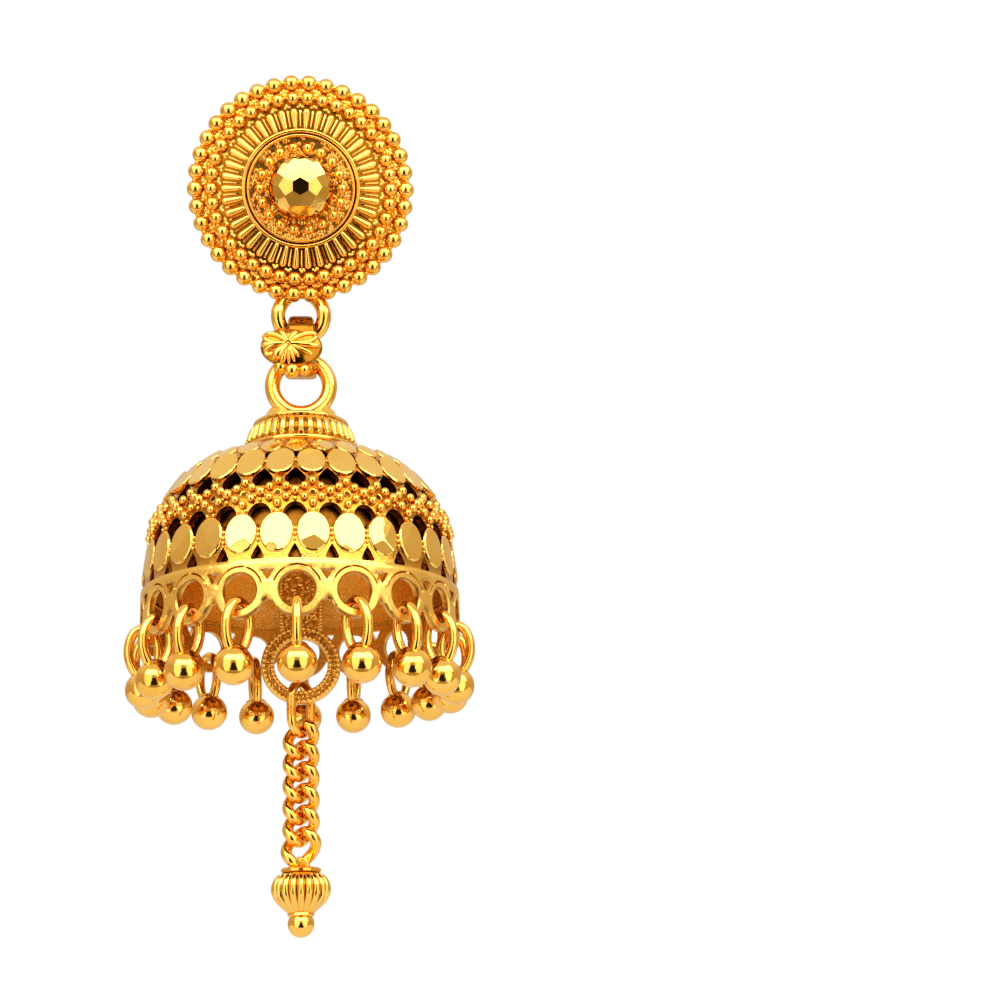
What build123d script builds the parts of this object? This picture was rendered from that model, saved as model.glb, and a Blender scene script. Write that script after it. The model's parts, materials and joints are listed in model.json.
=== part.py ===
from build123d import *
import math
import os

# Jhumka earring in gold-plated brass: an ear stud, a carved bail, and a domed drop
# with a fluted crown, pierced rows, a lobed rim with eighteen ball bells, and a chain
# tassel that hangs from a strap inside the dome.
# Millimetres. +Z is up and the front faces -Y. The origin is the centre of the stud
# plate's flat back, where the ear post leaves it and the earlobe rests.

# ---------------------------------------------------------------- driving dimensions
DROOP_DEG = 20.0          # the stud's face tips down by this much, pulled by the drop

PLATE_RADIUS = 8.35       # over the outer ring of granules
PLATE_THICKNESS = 0.8
GRANULE_RADIUS = 0.58     # outer ring of granules, here as one rounded rim
POST_DIAMETER = 0.9
POST_LENGTH = 11.0
NUT_RADIUS = 2.7
NUT_THICKNESS = 2.2
LOBE_SPACE = 7.2          # room for the earlobe between plate and nut

LOOP_DROP = 9.35          # plate centre to loop centre, along the plate
LOOP_LIFT = 0.6           # loop centre in front of the plate's back
LOOP_RADIUS = 1.70        # to the middle of the wire
LOOP_WIRE = 1.08

RING_RADIUS = 2.105       # crown ring, to the middle of the wire
RING_WIRE = 1.13
RING_BELOW_LOOP = 3.75    # crown ring's centre below the middle of the loop's bottom wire

BAIL_TOP_WIDTH = 1.95
BAIL_BOTTOM_WIDTH = 2.3
BAIL_OPENING_DEPTH = 1.8
BAIL_BACK_THICKNESS = 0.8
BAIL_CLEARANCE = 0.10     # round the two ring wires
SWING_DEG = 36            # the bail and drop swing this far to the front and back
FLOWER_HALF_WIDTH = 2.20
FLOWER_HALF_HEIGHT = 1.55
FLOWER_OFFSET = -0.42     # the flower sits a little to the left of the bail

CROWN_TOP_RADIUS = 3.45
CROWN_FOOT_RADIUS = 4.05
CROWN_BELOW_RING = 2.55   # crown's domed top below the crown ring's centre
CROWN_RIM_DROP = 0.55     # top of the crown down to its fluted rim
CROWN_HEIGHT = 2.70       # top of the crown down to its foot

DOME_WALL = 0.75
DOME_TOP_BELOW_CROWN = 0.10
# Outer outline of the dome, as (radius, depth below the dome's flat top).
DOME_OUTLINE = [
    (3.70, 0.00), (4.60, 0.17), (5.90, 0.52), (7.05, 1.10), (8.03, 1.83), (8.78, 2.56),
    (9.35, 3.29), (9.80, 4.02), (10.20, 4.90), (10.55, 5.85), (10.80, 6.95), (11.02, 8.41),
    (11.20, 9.87), (11.26, 10.60),
]
REPEATS = 28              # petals, flowers and windows round each row of the dome
ROW_PHASE_DEG = 4.3       # a petal's middle lies this far to the right of the front

# Corners of the pierced windows, as (half width either side, depth below the flat top).
PETAL_WINDOW = [(0, 3.25), (0.66, 4.05), (0.5, 4.75), (-0.5, 4.75), (-0.66, 4.05)]
LENS_WINDOW = [(-0.75, 6.75), (0.75, 6.75), (0.22, 8.2), (-0.22, 8.2)]
FOOT_WINDOW = [(0, 9.1), (0.5, 10.1), (-0.5, 10.1)]

LOBES = 18
LOBE_PHASE_DEG = -1.3
RIM_RADIUS = 11.15        # middle of the rim band's wall
RIM_WALL = 0.50
LOBE_HOLE_RADIUS = 1.20
LOBE_OUTER_RADIUS = 1.86
LOBE_DEPTH = 12.60        # lobe centres below the dome's flat top
RIM_STRIP_HEIGHT = 0.62
WEB_DEPTH = 0.75          # the web between lobes reaches this far below their centres

BELL_BALL_RADIUS = 1.33
BELL_WIRE = 0.68
BELL_LOOP_HALF_WIDTH = 1.05    # the oval loop, to the middle of the wire
BELL_LOOP_HALF_HEIGHT = 1.65
BELL_TOP_BEND = 0.85      # radius of the bend that rests in the lobe
BELL_LEG_DEPTH = 1.70     # the legs end this far below the oval's middle, in the ball
BELL_BALL_DROP = 4.00     # ball centre below the lower edge of the lobe's hole
BELL_SEAT_GAP = 0.18

STRAP_WIDTH = 3.20
STRAP_THICKNESS = 0.80
HOOP_INNER_RADIUS = 1.90
HOOP_OUTER_RADIUS = 2.85
HOOP_DEPTH = 15.65        # hoop centre below the dome's flat top

LINK_WIRE = 0.60
LINK_WIDTH = 2.40         # top link, between the middles of its legs
LINK_HEIGHT = 3.60        # top link, between the middles of its ends
LINK_SEAT_GAP = 0.28
LINK_TURN_DEG = 55.0      # the top link's plane, turned from facing the front

CHAIN_WIDTH = 2.80
CHAIN_DEPTH = 2.00
CHAIN_LENGTH = 8.85

COLLAR_RADIUS = 1.31
COLLAR_HEIGHT = 0.70
BEAD_RADIUS = 2.08
BEAD_HEIGHT = 2.85
TIP_BALL_RADIUS = 0.92

GAP = 0.08                # running gap between pieces that touch

# ---------------------------------------------------------------- places worked out
droop = math.radians(DROOP_DEG)
face_dir = (0, -math.cos(droop), -math.sin(droop))
stud_plane = Plane(origin=(0, 0, 0), x_dir=(1, 0, 0), z_dir=face_dir)


def on_stud(up, forward):
    """World Y and Z of a point `up` along the plate and `forward` from its back."""
    y = -up * math.sin(droop) - forward * math.cos(droop)
    z = up * math.cos(droop) - forward * math.sin(droop)
    return y, z


axis_y, pivot_z = on_stud(-(LOOP_DROP + LOOP_RADIUS), LOOP_LIFT)
ring_z = pivot_z - RING_BELOW_LOOP
ring_wire_z = ring_z + RING_RADIUS
crown_top_z = ring_z - CROWN_BELOW_RING
crown_foot_z = crown_top_z - CROWN_HEIGHT
dome_top_z = crown_foot_z - DOME_TOP_BELOW_CROWN
lobe_z = dome_top_z - LOBE_DEPTH
hoop_z = dome_top_z - HOOP_DEPTH
link_top_z = hoop_z - HOOP_INNER_RADIUS + LINK_SEAT_GAP + LINK_WIRE / 2
link_bottom_z = link_top_z - LINK_HEIGHT
chain_top_z = link_bottom_z - LINK_WIRE / 2 - GAP
chain_bottom_z = chain_top_z - CHAIN_LENGTH
collar_top_z = chain_bottom_z - GAP


def ring(radius, wire):
    """A wire ring that faces the front, about the world origin."""
    return Rot(90, 0, 0) * Torus(radius, wire / 2)


def disc_y(radius, thickness, y, z, x=0.0):
    """A disc that faces the front, centred at (x, y, z)."""
    return Pos(x, y, z) * Rot(90, 0, 0) * Cylinder(radius, thickness)


def turned(outline):
    """Revolve a closed outline of (radius, height) points about Z."""
    points = [(r, 0, z) for r, z in outline]
    face = make_face(Polyline(*points, close=True))
    return revolve(face, Axis.Z, 360)


def around(count, phase_deg, shape):
    """Copies of a shape that stands at the front (-Y), set round the vertical axis."""
    step = 360.0 / count
    return [Rot(0, 0, phase_deg + i * step) * shape for i in range(count)]


# ---------------------------------------------------------------- ear stud
def make_stud_plate():
    """Round granulated plate with its raised centre, bottom loop and ear post."""
    rim_mid = PLATE_RADIUS - GRANULE_RADIUS
    plate = Cylinder(rim_mid, PLATE_THICKNESS, align=(Align.CENTER, Align.CENTER, Align.MIN))
    rim = Pos(0, 0, GRANULE_RADIUS) * Torus(rim_mid, GRANULE_RADIUS)
    inner_granules = Pos(0, 0, PLATE_THICKNESS) * Torus(6.79, 0.42)
    ribs = turned([(4.1, 0.3), (5.95, 0.3), (5.95, 1.05), (4.35, 1.55), (4.1, 1.55)])
    wire_ring = Pos(0, 0, 1.5) * Torus(4.15, 0.20)
    floor = Cylinder(4.4, 1.05, align=(Align.CENTER, Align.CENTER, Align.MIN))
    bead_row = Pos(0, 0, 1.2) * Torus(3.13, 0.37)
    upper_half = Cylinder(3, 3, align=(Align.CENTER, Align.CENTER, Align.MIN))
    centre = Pos(0, 0, 1.35) * (Sphere(2.25) & upper_half)
    collar = Cylinder(2.31, 1.45, align=(Align.CENTER, Align.CENTER, Align.MIN))
    loop = Pos(0, -LOOP_DROP, LOOP_LIFT) * Torus(LOOP_RADIUS, LOOP_WIRE / 2)
    post = Cylinder(POST_DIAMETER / 2, POST_LENGTH, align=(Align.CENTER, Align.CENTER, Align.MAX))
    stud = plate + rim + inner_granules + ribs + wire_ring + floor + bead_row
    stud = stud + collar + centre + loop + post
    return stud_plane * stud


def make_post_nut():
    """Plain round nut on the ear post, with the earlobe's room in front of it."""
    r = NUT_RADIUS
    t = NUT_THICKNESS
    bevel = 0.5
    bore = POST_DIAMETER / 2 + GAP / 2
    nut = turned([(bore, 0), (r - bevel, 0), (r, bevel), (r, t - bevel), (r - bevel, t), (bore, t)])
    return stud_plane * Pos(0, 0, -LOBE_SPACE - t) * nut


# ---------------------------------------------------------------- carved bail
def make_bail():
    """Oval bail round the two ring wires, with a carved flower on its front."""
    half = BAIL_OPENING_DEPTH / 2
    inner_top = pivot_z + LOOP_WIRE / 2 + 0.13
    inner_bottom = ring_wire_z - RING_WIRE / 2 - 0.13
    top_thickness = 1.05
    bottom_thickness = 0.82
    front_thickness = 1.0

    def band(width, y_front, y_back, z_low, z_high):
        path = Plane.YZ * Pos((y_front + y_back) / 2, (z_low + z_high) / 2)
        shape = SlotOverall(z_high - z_low, y_back - y_front, rotation=90)
        return extrude(path * shape, width / 2, both=True)

    y0 = axis_y - half
    y1 = axis_y + half
    mid = (inner_top + inner_bottom) / 2
    outer = band(BAIL_BOTTOM_WIDTH, y0 - front_thickness, y1 + BAIL_BACK_THICKNESS,
                 inner_bottom - bottom_thickness, inner_top + top_thickness)
    outer = fillet(outer.edges(), 0.3)
    neck_cut = Pos(0, axis_y, mid + 5.5) * Box(6, 12, 8)
    neck = Pos(0, axis_y, 0) * Box(BAIL_TOP_WIDTH, 12, 60)
    outer = (outer - neck_cut) + (outer & neck_cut & neck)
    flower_z = mid - 0.40
    flower = scale(Sphere(1), by=(FLOWER_HALF_WIDTH, 1.15, FLOWER_HALF_HEIGHT))
    flower = flower - Pos(0, 1.5, 0) * Box(8, 3, 8)
    flower_body = Pos(FLOWER_OFFSET, y0 - 0.45, flower_z) * flower
    opening = band(12, y0, y1, inner_bottom, inner_top)
    bail = outer + flower_body - opening
    loop_room = Torus(LOOP_RADIUS, LOOP_WIRE / 2 + BAIL_CLEARANCE)
    for angle in range(-SWING_DEG, SWING_DEG + 1, SWING_DEG // 2):
        swung = stud_plane * Pos(0, -LOOP_DROP, LOOP_LIFT) * loop_room
        pivot = Pos(0, axis_y, pivot_z)
        bail -= pivot * Rot(angle, 0, 0) * pivot.inverse() * swung
    bail -= Pos(0, axis_y, ring_z) * ring(RING_RADIUS, RING_WIRE + 2 * BAIL_CLEARANCE)
    return bail


# ---------------------------------------------------------------- crown and dome
def make_crown_cap():
    """Fluted collar with a low domed top and the ring soldered on it."""
    rim_z = crown_top_z - CROWN_RIM_DROP
    collar = turned([
        (0, crown_foot_z),
        (CROWN_FOOT_RADIUS - 0.1, crown_foot_z),
        (CROWN_FOOT_RADIUS, crown_foot_z + 0.12),
        (CROWN_FOOT_RADIUS - 0.12, crown_foot_z + 0.75),
        (CROWN_TOP_RADIUS + 0.2, crown_foot_z + 1.45),
        (CROWN_TOP_RADIUS, rim_z),
        (CROWN_TOP_RADIUS - 0.15, rim_z + 0.12),
        (2.2, crown_top_z),
        (0, crown_top_z + 0.1),
    ])
    crown_ring = Pos(0, 0, ring_z) * ring(RING_RADIUS, RING_WIRE)
    return Pos(0, axis_y, 0) * (collar + crown_ring)


def dome_face():
    """Half section of the dome's wall, outer spline and inner spline, in the XZ plane."""
    outer = [(r, dome_top_z - d) for r, d in DOME_OUTLINE]
    inner = []
    for i, (r, z) in enumerate(outer):
        before = outer[max(i - 1, 0)]
        after = outer[min(i + 1, len(outer) - 1)]
        run = after[0] - before[0]
        drop = before[1] - after[1]
        length = math.hypot(run, drop)
        inner.append((r - DOME_WALL * drop / length, z - DOME_WALL * run / length))
    inner[0] = (outer[0][0] - 0.2, dome_top_z - DOME_WALL)
    inner[-1] = (RIM_RADIUS - RIM_WALL / 2, outer[-1][1])
    outer_curve = Spline(*[(r, 0, z) for r, z in outer])
    inner_curve = Spline(*[(r, 0, z) for r, z in inner])
    foot = Line(outer_curve @ 1, inner_curve @ 1)
    under_top = Line(inner_curve @ 0, (0, 0, dome_top_z - DOME_WALL))
    middle = Line((0, 0, dome_top_z - DOME_WALL), (0, 0, dome_top_z))
    top = Line((0, 0, dome_top_z), outer_curve @ 0)
    return make_face(outer_curve + foot + inner_curve + under_top + middle + top)


def radial_prism(points, radius_from, radius_to):
    """Prism through the front wall: (x, z) corners, from one radius to another."""
    face = make_face(Polyline(*[(x, -radius_from, z) for x, z in points], close=True))
    return extrude(face, radius_to - radius_from, dir=(0, -1, 0))


def make_dome_shell():
    """Dome, rim band and lobes in one soldered piece, pierced as the real one is."""
    dome = revolve(dome_face(), Axis.Z, 360)
    strip_top = dome_top_z - DOME_OUTLINE[-1][1] + 0.02
    web_bottom = lobe_z - WEB_DEPTH
    outer_r = RIM_RADIUS + RIM_WALL / 2
    inner_r = RIM_RADIUS - RIM_WALL / 2
    lobe_low = lobe_z - LOBE_OUTER_RADIUS - 0.1
    tube = turned([(inner_r, lobe_low), (outer_r, lobe_low), (outer_r, strip_top), (inner_r, strip_top)])
    keep = turned([(10, web_bottom), (13, web_bottom), (13, strip_top + 1), (10, strip_top + 1)])
    lobe_disc = disc_y(LOBE_OUTER_RADIUS, 3, -RIM_RADIUS, lobe_z)
    for piece in around(LOBES, LOBE_PHASE_DEG, lobe_disc):
        keep += piece
    rim = tube & keep
    cut_top = strip_top - RIM_STRIP_HEIGHT
    cut = radial_prism([(-0.62, cut_top), (0.62, cut_top), (0, cut_top - 0.75)], 10.5, 12.5)
    holes = around(LOBES, LOBE_PHASE_DEG, disc_y(LOBE_HOLE_RADIUS, 3, -RIM_RADIUS, lobe_z))
    gaps = around(LOBES, LOBE_PHASE_DEG + 180.0 / LOBES, cut)
    shell = dome + rim
    half_step = 180.0 / REPEATS
    windows = []
    for corners in (PETAL_WINDOW, LENS_WINDOW, FOOT_WINDOW):
        outline = [(x, dome_top_z - depth) for x, depth in corners]
        cutter = radial_prism(outline, 7.5, 12.5)
        windows += around(REPEATS, ROW_PHASE_DEG + half_step, cutter)
    shell = shell - (holes + gaps + windows)
    return Pos(0, axis_y, 0) * shell


# ---------------------------------------------------------------- bells
def loop_path():
    """Centre line of a bell's oval loop in the XZ plane, about the oval's middle."""
    w = BELL_LOOP_HALF_WIDTH
    h = BELL_LOOP_HALF_HEIGHT
    bend = BELL_TOP_BEND
    side = (w * w + h * h - 2 * h * bend) / (2 * (w - bend))
    side_x = w - side
    reach = math.hypot(side_x, h - bend)
    join = (bend * -side_x / reach, h - bend + bend * (h - bend) / reach)
    foot_x = side_x + math.sqrt(side ** 2 - BELL_LEG_DEPTH ** 2)
    left = ThreePointArc((-foot_x, 0, -BELL_LEG_DEPTH), (-w, 0, 0), (-join[0], 0, join[1]))
    top = ThreePointArc((-join[0], 0, join[1]), (0, 0, h), (join[0], 0, join[1]))
    right = ThreePointArc((join[0], 0, join[1]), (w, 0, 0), (foot_x, 0, -BELL_LEG_DEPTH))
    return left + top + right


def make_bell():
    """Ball with its wire loop, hung at the origin: the point where the loop rests."""
    path = loop_path()
    start = Plane(origin=path @ 0, z_dir=path % 0)
    wire = sweep(start * Circle(BELL_WIRE / 2), path=path)
    wire = Pos(0, 0, BELL_WIRE / 2 - BELL_LOOP_HALF_HEIGHT) * wire
    ball = Pos(0, 0, -BELL_BALL_DROP) * Sphere(BELL_BALL_RADIUS)
    return wire + ball


# How each bell hangs, from the front bell round by the right, in degrees:
# (outwards from the dome, sideways along the rim to the right, loop turned about its length).
BELL_HANG = [
    (3, 0, 0), (4, 5, 24), (8, 2, 0), (2, 0, 0), (-1, 0, 6), (-4, 0, 0),
    (-7, -2, -5), (-5, -3, 0), (-3, 0, 8), (-2, 0, 0), (-4, -2, -8), (-7, 3, 0),
    (-6, 2, 4), (-4, 0, 0), (-2, 0, -6), (2, 0, 0), (7, -1, 0), (4, -4, -24),
]


def make_bells():
    """The eighteen bells, each in its lobe."""
    bell = make_bell()
    seat_z = lobe_z - LOBE_HOLE_RADIUS + BELL_SEAT_GAP
    bells = []
    for i, (outwards, sideways, turn) in enumerate(BELL_HANG):
        azimuth = -90 + LOBE_PHASE_DEG + i * 360.0 / LOBES
        tilt = Rot(sideways, 0, 0) * Rot(0, -outwards, 0) * Rot(0, 0, turn)
        hung = Pos(RIM_RADIUS, 0, seat_z) * tilt * bell
        bells.append(Pos(0, axis_y, 0) * Rot(0, 0, azimuth) * hung)
    return bells


# ---------------------------------------------------------------- hanger and tassel
def make_inner_hanger():
    """Flat strap down the middle of the dome that ends in a round hoop."""
    top = dome_top_z - DOME_WALL - GAP
    hoop = disc_y(HOOP_OUTER_RADIUS, STRAP_THICKNESS, 0, hoop_z)
    strap_bottom = hoop_z + 1.5
    strap = Pos(0, 0, (top + strap_bottom) / 2) * Box(STRAP_WIDTH, STRAP_THICKNESS, top - strap_bottom)
    hole = disc_y(HOOP_INNER_RADIUS, 3, 0, hoop_z)
    return Pos(0, axis_y, 0) * (hoop + strap - hole)


def make_top_link():
    """Long link that carries the chain on the hoop."""
    r = LINK_WIDTH / 2
    straight = LINK_HEIGHT / 2 - r
    low = ThreePointArc((r, 0, -straight), (0, 0, -straight - r), (-r, 0, -straight))
    left = Line((-r, 0, -straight), (-r, 0, straight))
    high = ThreePointArc((-r, 0, straight), (0, 0, straight + r), (r, 0, straight))
    right = Line((r, 0, straight), (r, 0, -straight))
    path = low + left + high + right
    start = Plane(origin=path @ 0, z_dir=path % 0)
    link = sweep(start * Circle(LINK_WIRE / 2), path=path)
    middle_z = (link_top_z + link_bottom_z) / 2
    return Pos(0, axis_y, middle_z) * Rot(0, 0, LINK_TURN_DEG) * link


def make_curb_chain():
    """Fine chain as one straight tube of its outer form."""
    foot = Plane(origin=(0, axis_y, chain_bottom_z), z_dir=(0, 0, 1))
    section = foot * Ellipse(CHAIN_WIDTH / 2, CHAIN_DEPTH / 2)
    return extrude(section, CHAIN_LENGTH)


def make_finial():
    """Collar, fluted bead and tip ball, turned in one piece."""
    bead_top = collar_top_z - COLLAR_HEIGHT * 0.6
    bead_low = bead_top - BEAD_HEIGHT
    bead_mid = bead_top - BEAD_HEIGHT * 0.38
    tip_z = bead_low - TIP_BALL_RADIUS * 0.65
    collar = Pos(0, 0, collar_top_z - COLLAR_HEIGHT / 2) * Cylinder(COLLAR_RADIUS, COLLAR_HEIGHT)
    start = (0, 0, bead_top)
    shoulder = (1.2, 0, bead_top)
    widest = (BEAD_RADIUS, 0, bead_mid)
    belly = ThreePointArc(shoulder, (BEAD_RADIUS * 0.93, 0, (bead_top + bead_mid) / 2), widest)
    under = ThreePointArc(widest, (1.75, 0, bead_mid - 1.05), (0.7, 0, bead_low))
    outline = Line(start, shoulder) + belly + under + Line((0.7, 0, bead_low), (0, 0, bead_low))
    outline += Line((0, 0, bead_low), start)
    bead = revolve(make_face(outline), Axis.Z, 360)
    tip = Pos(0, 0, tip_z) * Sphere(TIP_BALL_RADIUS)
    return Pos(0, axis_y, 0) * (collar + bead + tip)


# ---------------------------------------------------------------- build and write
pieces = {
    "stud_plate": make_stud_plate(),
    "post_nut": make_post_nut(),
    "bail_link": make_bail(),
    "crown_cap": make_crown_cap(),
    "dome_shell": make_dome_shell(),
    "inner_hanger": make_inner_hanger(),
    "chain_top_link": make_top_link(),
    "curb_chain": make_curb_chain(),
    "finial": make_finial(),
}
for number, bell in enumerate(make_bells(), start=1):
    pieces[f"bell_{number:02d}"] = bell

os.makedirs("parts", exist_ok=True)
total = 0.0
for name, shape in pieces.items():
    export_step(shape, f"parts/{name}.step")
    total += shape.volume
print("pieces", len(pieces), "total volume mm3", round(total, 1))
print("pivot", (0, round(axis_y, 3), round(pivot_z, 3)), "ring centre z", round(ring_z, 3))
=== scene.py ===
# %% [markdown]
# # A gold jhumka earring, piece by piece
# An ear stud, a carved bail and a domed drop with a fluted crown, pierced rows, a lobed
# rim with eighteen ball bells, and a chain tassel that hangs from a strap in the dome.
# All of it is gold-plated brass, so what tells the pieces apart is form: round grains,
# flat cut petals, fluted ribs, wire. Each piece here is built as its own mesh over the
# simple solid of the same name, in the same frame, and rides on that solid's body.

# %% Tools and frame
import json
import math
import random
import bmesh
import bpy
import numpy as np
from mathutils import Matrix, Vector, geometry


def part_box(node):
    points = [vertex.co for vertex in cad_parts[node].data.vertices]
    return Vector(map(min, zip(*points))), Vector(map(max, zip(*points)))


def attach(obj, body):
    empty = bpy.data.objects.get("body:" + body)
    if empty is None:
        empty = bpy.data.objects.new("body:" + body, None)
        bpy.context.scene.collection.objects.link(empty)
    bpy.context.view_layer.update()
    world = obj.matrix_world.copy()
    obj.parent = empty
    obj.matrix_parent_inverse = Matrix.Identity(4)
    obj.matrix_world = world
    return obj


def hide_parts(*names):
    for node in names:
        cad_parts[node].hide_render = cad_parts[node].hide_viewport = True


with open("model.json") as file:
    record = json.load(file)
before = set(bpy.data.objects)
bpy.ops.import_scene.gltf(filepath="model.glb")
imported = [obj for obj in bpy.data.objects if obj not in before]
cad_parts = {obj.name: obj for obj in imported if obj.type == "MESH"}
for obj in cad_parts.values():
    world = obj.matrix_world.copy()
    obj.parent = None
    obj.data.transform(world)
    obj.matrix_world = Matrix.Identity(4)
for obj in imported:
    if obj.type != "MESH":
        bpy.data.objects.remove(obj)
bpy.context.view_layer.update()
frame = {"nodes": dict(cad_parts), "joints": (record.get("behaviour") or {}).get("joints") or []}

# %% [markdown]
# ## Where things are
# The solids give the places: the joints are the two wire crossings, and each box gives
# a top and a foot. From here on lengths are in millimetres, as a goldsmith's would be,
# and they turn into metres only when a mesh is made.

# %% Places and heights
MM = 0.001


def box_mm(node):
    """Lowest and highest corner of a solid, in millimetres."""
    low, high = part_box(node)
    return np.array(low) / MM, np.array(high) / MM


joint_places = {j["name"]: np.array(j["pos_m"]) / MM for j in frame["joints"]}
pivot = joint_places["front_back_swing"]
ring_centre = joint_places["side_sway"]
axis_y = float(pivot[1])
pivot_z = float(pivot[2])
ring_z = float(ring_centre[2])
crown_foot_z = float(box_mm("crown_cap")[0][2])
dome_top_z = float(box_mm("dome_shell")[1][2])
print("axis y %.2f, pivot z %.2f, ring z %.2f" % (axis_y, pivot_z, ring_z))
print("crown foot z %.2f, dome top z %.2f" % (crown_foot_z, dome_top_z))

# %% [markdown]
# ## A piece of metal
# A piece collects points and faces from simple operations: turning a profile, drawing a
# wire, setting grains, piercing a plate. Each point also carries an amount of painted
# shade: 0 on proud metal, 1 deep in a recess and 2 where no light comes, and the finish
# darkens the metal by it. When the piece is done, doubled points are merged, so that a
# ball's pole is one point, and the whole becomes one mesh that rides on a body.

# %% Faces over a grid
def grid_faces(rows, cols, wrap_rows=False):
    """Four-sided faces over a grid of points, row by row, each row closed into a ring."""
    r, c = np.meshgrid(np.arange(rows if wrap_rows else rows - 1), np.arange(cols), indexing="ij")
    r2 = (r + 1) % rows
    c2 = (c + 1) % cols
    return np.stack([r * cols + c, r * cols + c2, r2 * cols + c2, r2 * cols + c], -1).reshape(-1, 4)


print("3 rows of 4 points make", len(grid_faces(3, 4)), "faces")

# %% Collect, merge and make
class Metal:
    """Points and faces of one piece, in millimetres, before it becomes a mesh."""

    def __init__(self):
        self.points = []
        self.faces = []
        self.painted_shade = []
        self.count = 0

    def add(self, points, faces, painted_shade=0.0):
        points = np.asarray(points, float).reshape(-1, 3)
        faces = np.asarray(faces, int)
        self.points.append(points)
        self.painted_shade.append(np.broadcast_to(np.asarray(painted_shade, float).ravel(), (len(points),)))
        self.faces.append(faces + self.count)
        self.count += len(points)

    def joined(self):
        """All points with doubles merged, and the faces as triangles and quads."""
        points = np.concatenate(self.points)
        painted_shade = np.concatenate(self.painted_shade)
        key = np.round(points / 2e-4).astype(np.int64)
        _, first, back = np.unique(key, axis=0, return_index=True, return_inverse=True)
        back = np.asarray(back).reshape(-1)
        faces = []
        for block in self.faces:
            for face in back[block]:
                corners = [v for k, v in enumerate(face) if v != face[k - 1]]
                if len(set(corners)) > 2:
                    faces.append(corners)
        return points[first], painted_shade[first], faces

    def make(self, name, body, finish, slot, crease_deg=35, replaces=()):
        """Turn the collected metal into one mesh that rides on a body.

        `crease_deg` is the angle from which an edge stays crisp, and `replaces` names the
        plain solids that this piece stands for.
        """
        points, painted_shade, faces = self.joined()
        mesh = bpy.data.meshes.new(name)
        mesh.from_pydata((points * MM).tolist(), [], faces)
        # Each point's painted shade, by which the finish darkens the metal.
        layer = mesh.attributes.new("painted_shade", "FLOAT", "POINT")
        layer.data.foreach_set("value", painted_shade.astype(np.float32))
        work = bmesh.new()
        work.from_mesh(mesh)
        bmesh.ops.recalc_face_normals(work, faces=work.faces)
        work.to_mesh(mesh)
        work.free()
        mesh.shade_smooth()
        mesh.set_sharp_from_angle(angle=math.radians(crease_deg))
        obj = bpy.data.objects.new(name, mesh)
        bpy.context.scene.collection.objects.link(obj)
        mesh.materials.append(finish)
        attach(obj, body)
        if replaces:
            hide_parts(*replaces)
        triangles = sum(len(f) - 2 for f in faces)
        print(name, "has", triangles, "triangles")
        return obj


print("a new piece holds", Metal().count, "points")

# %% Directions
def frame_about(normal, up):
    """Right, up and outward directions of a flat place on a surface."""
    w = np.asarray(normal, float)
    w = w / np.linalg.norm(w)
    u = np.cross(up, w)
    u = u / np.linalg.norm(u)
    return u, np.cross(w, u), w


X = np.array([1.0, 0, 0])
Y = np.array([0, 1.0, 0])
Z = np.array([0, 0, 1.0])
print("a piece of metal is ready to be worked")

# %% [markdown]
# ## Grains and turned shapes
# The grain is the goldsmith's smallest part: a snippet of wire melted until it draws
# itself into a ball. What the lathe would make is a profile carried round an axis, and
# flutes are only a radius that changes with the angle. Both shade softly, so every step
# from bright to dark uses one easing curve.

# %% Easing and grains
def ease(low, high, x):
    """0 below low, 1 above high, smooth between."""
    t = np.clip((np.asarray(x, float) - low) / (high - low), 0, 1)
    return t * t * (3 - 2 * t)


def unit_ball(cols, rows):
    """Points and faces of a ball of radius 1."""
    lat = np.linspace(0, math.pi, rows + 1)
    lon = np.arange(cols) * 2 * math.pi / cols
    lat, lon = np.meshgrid(lat, lon, indexing="ij")
    points = np.stack([np.sin(lat) * np.cos(lon), np.sin(lat) * np.sin(lon), np.cos(lat)], -1)
    return points.reshape(-1, 3), grid_faces(rows + 1, cols)


def grains(metal, centres, radii, cols=14, rows=9, painted_shade=0.0, outward=None, foot=0.0):
    """Set a ball at each centre. With `outward`, the side away from it gets `foot` more painted shade."""
    ball, faces = unit_ball(cols, rows)
    radii = np.broadcast_to(radii, (len(centres),))
    for k, (centre, radius) in enumerate(zip(centres, radii)):
        depth = painted_shade
        if outward is not None:
            w = outward if np.ndim(outward) == 1 else outward[k]
            depth = painted_shade + foot * ease(0.0, -0.6, ball @ np.asarray(w))
        metal.add(ball * radius + centre, faces, depth)


print("a plain grain has", len(unit_ball(14, 9)[1]), "faces")

# %% Turned shapes
def turned(metal, profile, cols, centre=(0, 0), flute=None, painted_shade=0.0):
    """Turn a profile of (radius, height) about Z. `flute(angle, k)` adds to the radius.

    The painted shade is one level, a level for each point of the profile, or another such function.
    """
    profile = np.asarray(profile, float)
    angle = np.arange(cols) * 2 * math.pi / cols
    radius = np.repeat(profile[:, :1], cols, 1)
    if flute is not None:
        radius = radius + np.stack([flute(angle, k) for k in range(len(profile))])
    x = centre[0] + radius * np.cos(angle)
    y = centre[1] + radius * np.sin(angle)
    z = np.repeat(profile[:, 1:], cols, 1)
    if callable(painted_shade):
        depth = np.stack([painted_shade(angle, k) for k in range(len(profile))])
    else:
        depth = np.repeat(np.broadcast_to(painted_shade, (len(profile),)), cols)
    metal.add(np.stack([x, y, z], -1), grid_faces(len(profile), cols), depth)


print("grains and turned shapes ready")

# %% [markdown]
# ## Wire
# Rings, loops, links, rays and curls are all drawn wire. The wire follows a path without
# twisting, its ends are melted round, and one side can be pressed flatter than the other.

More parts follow.
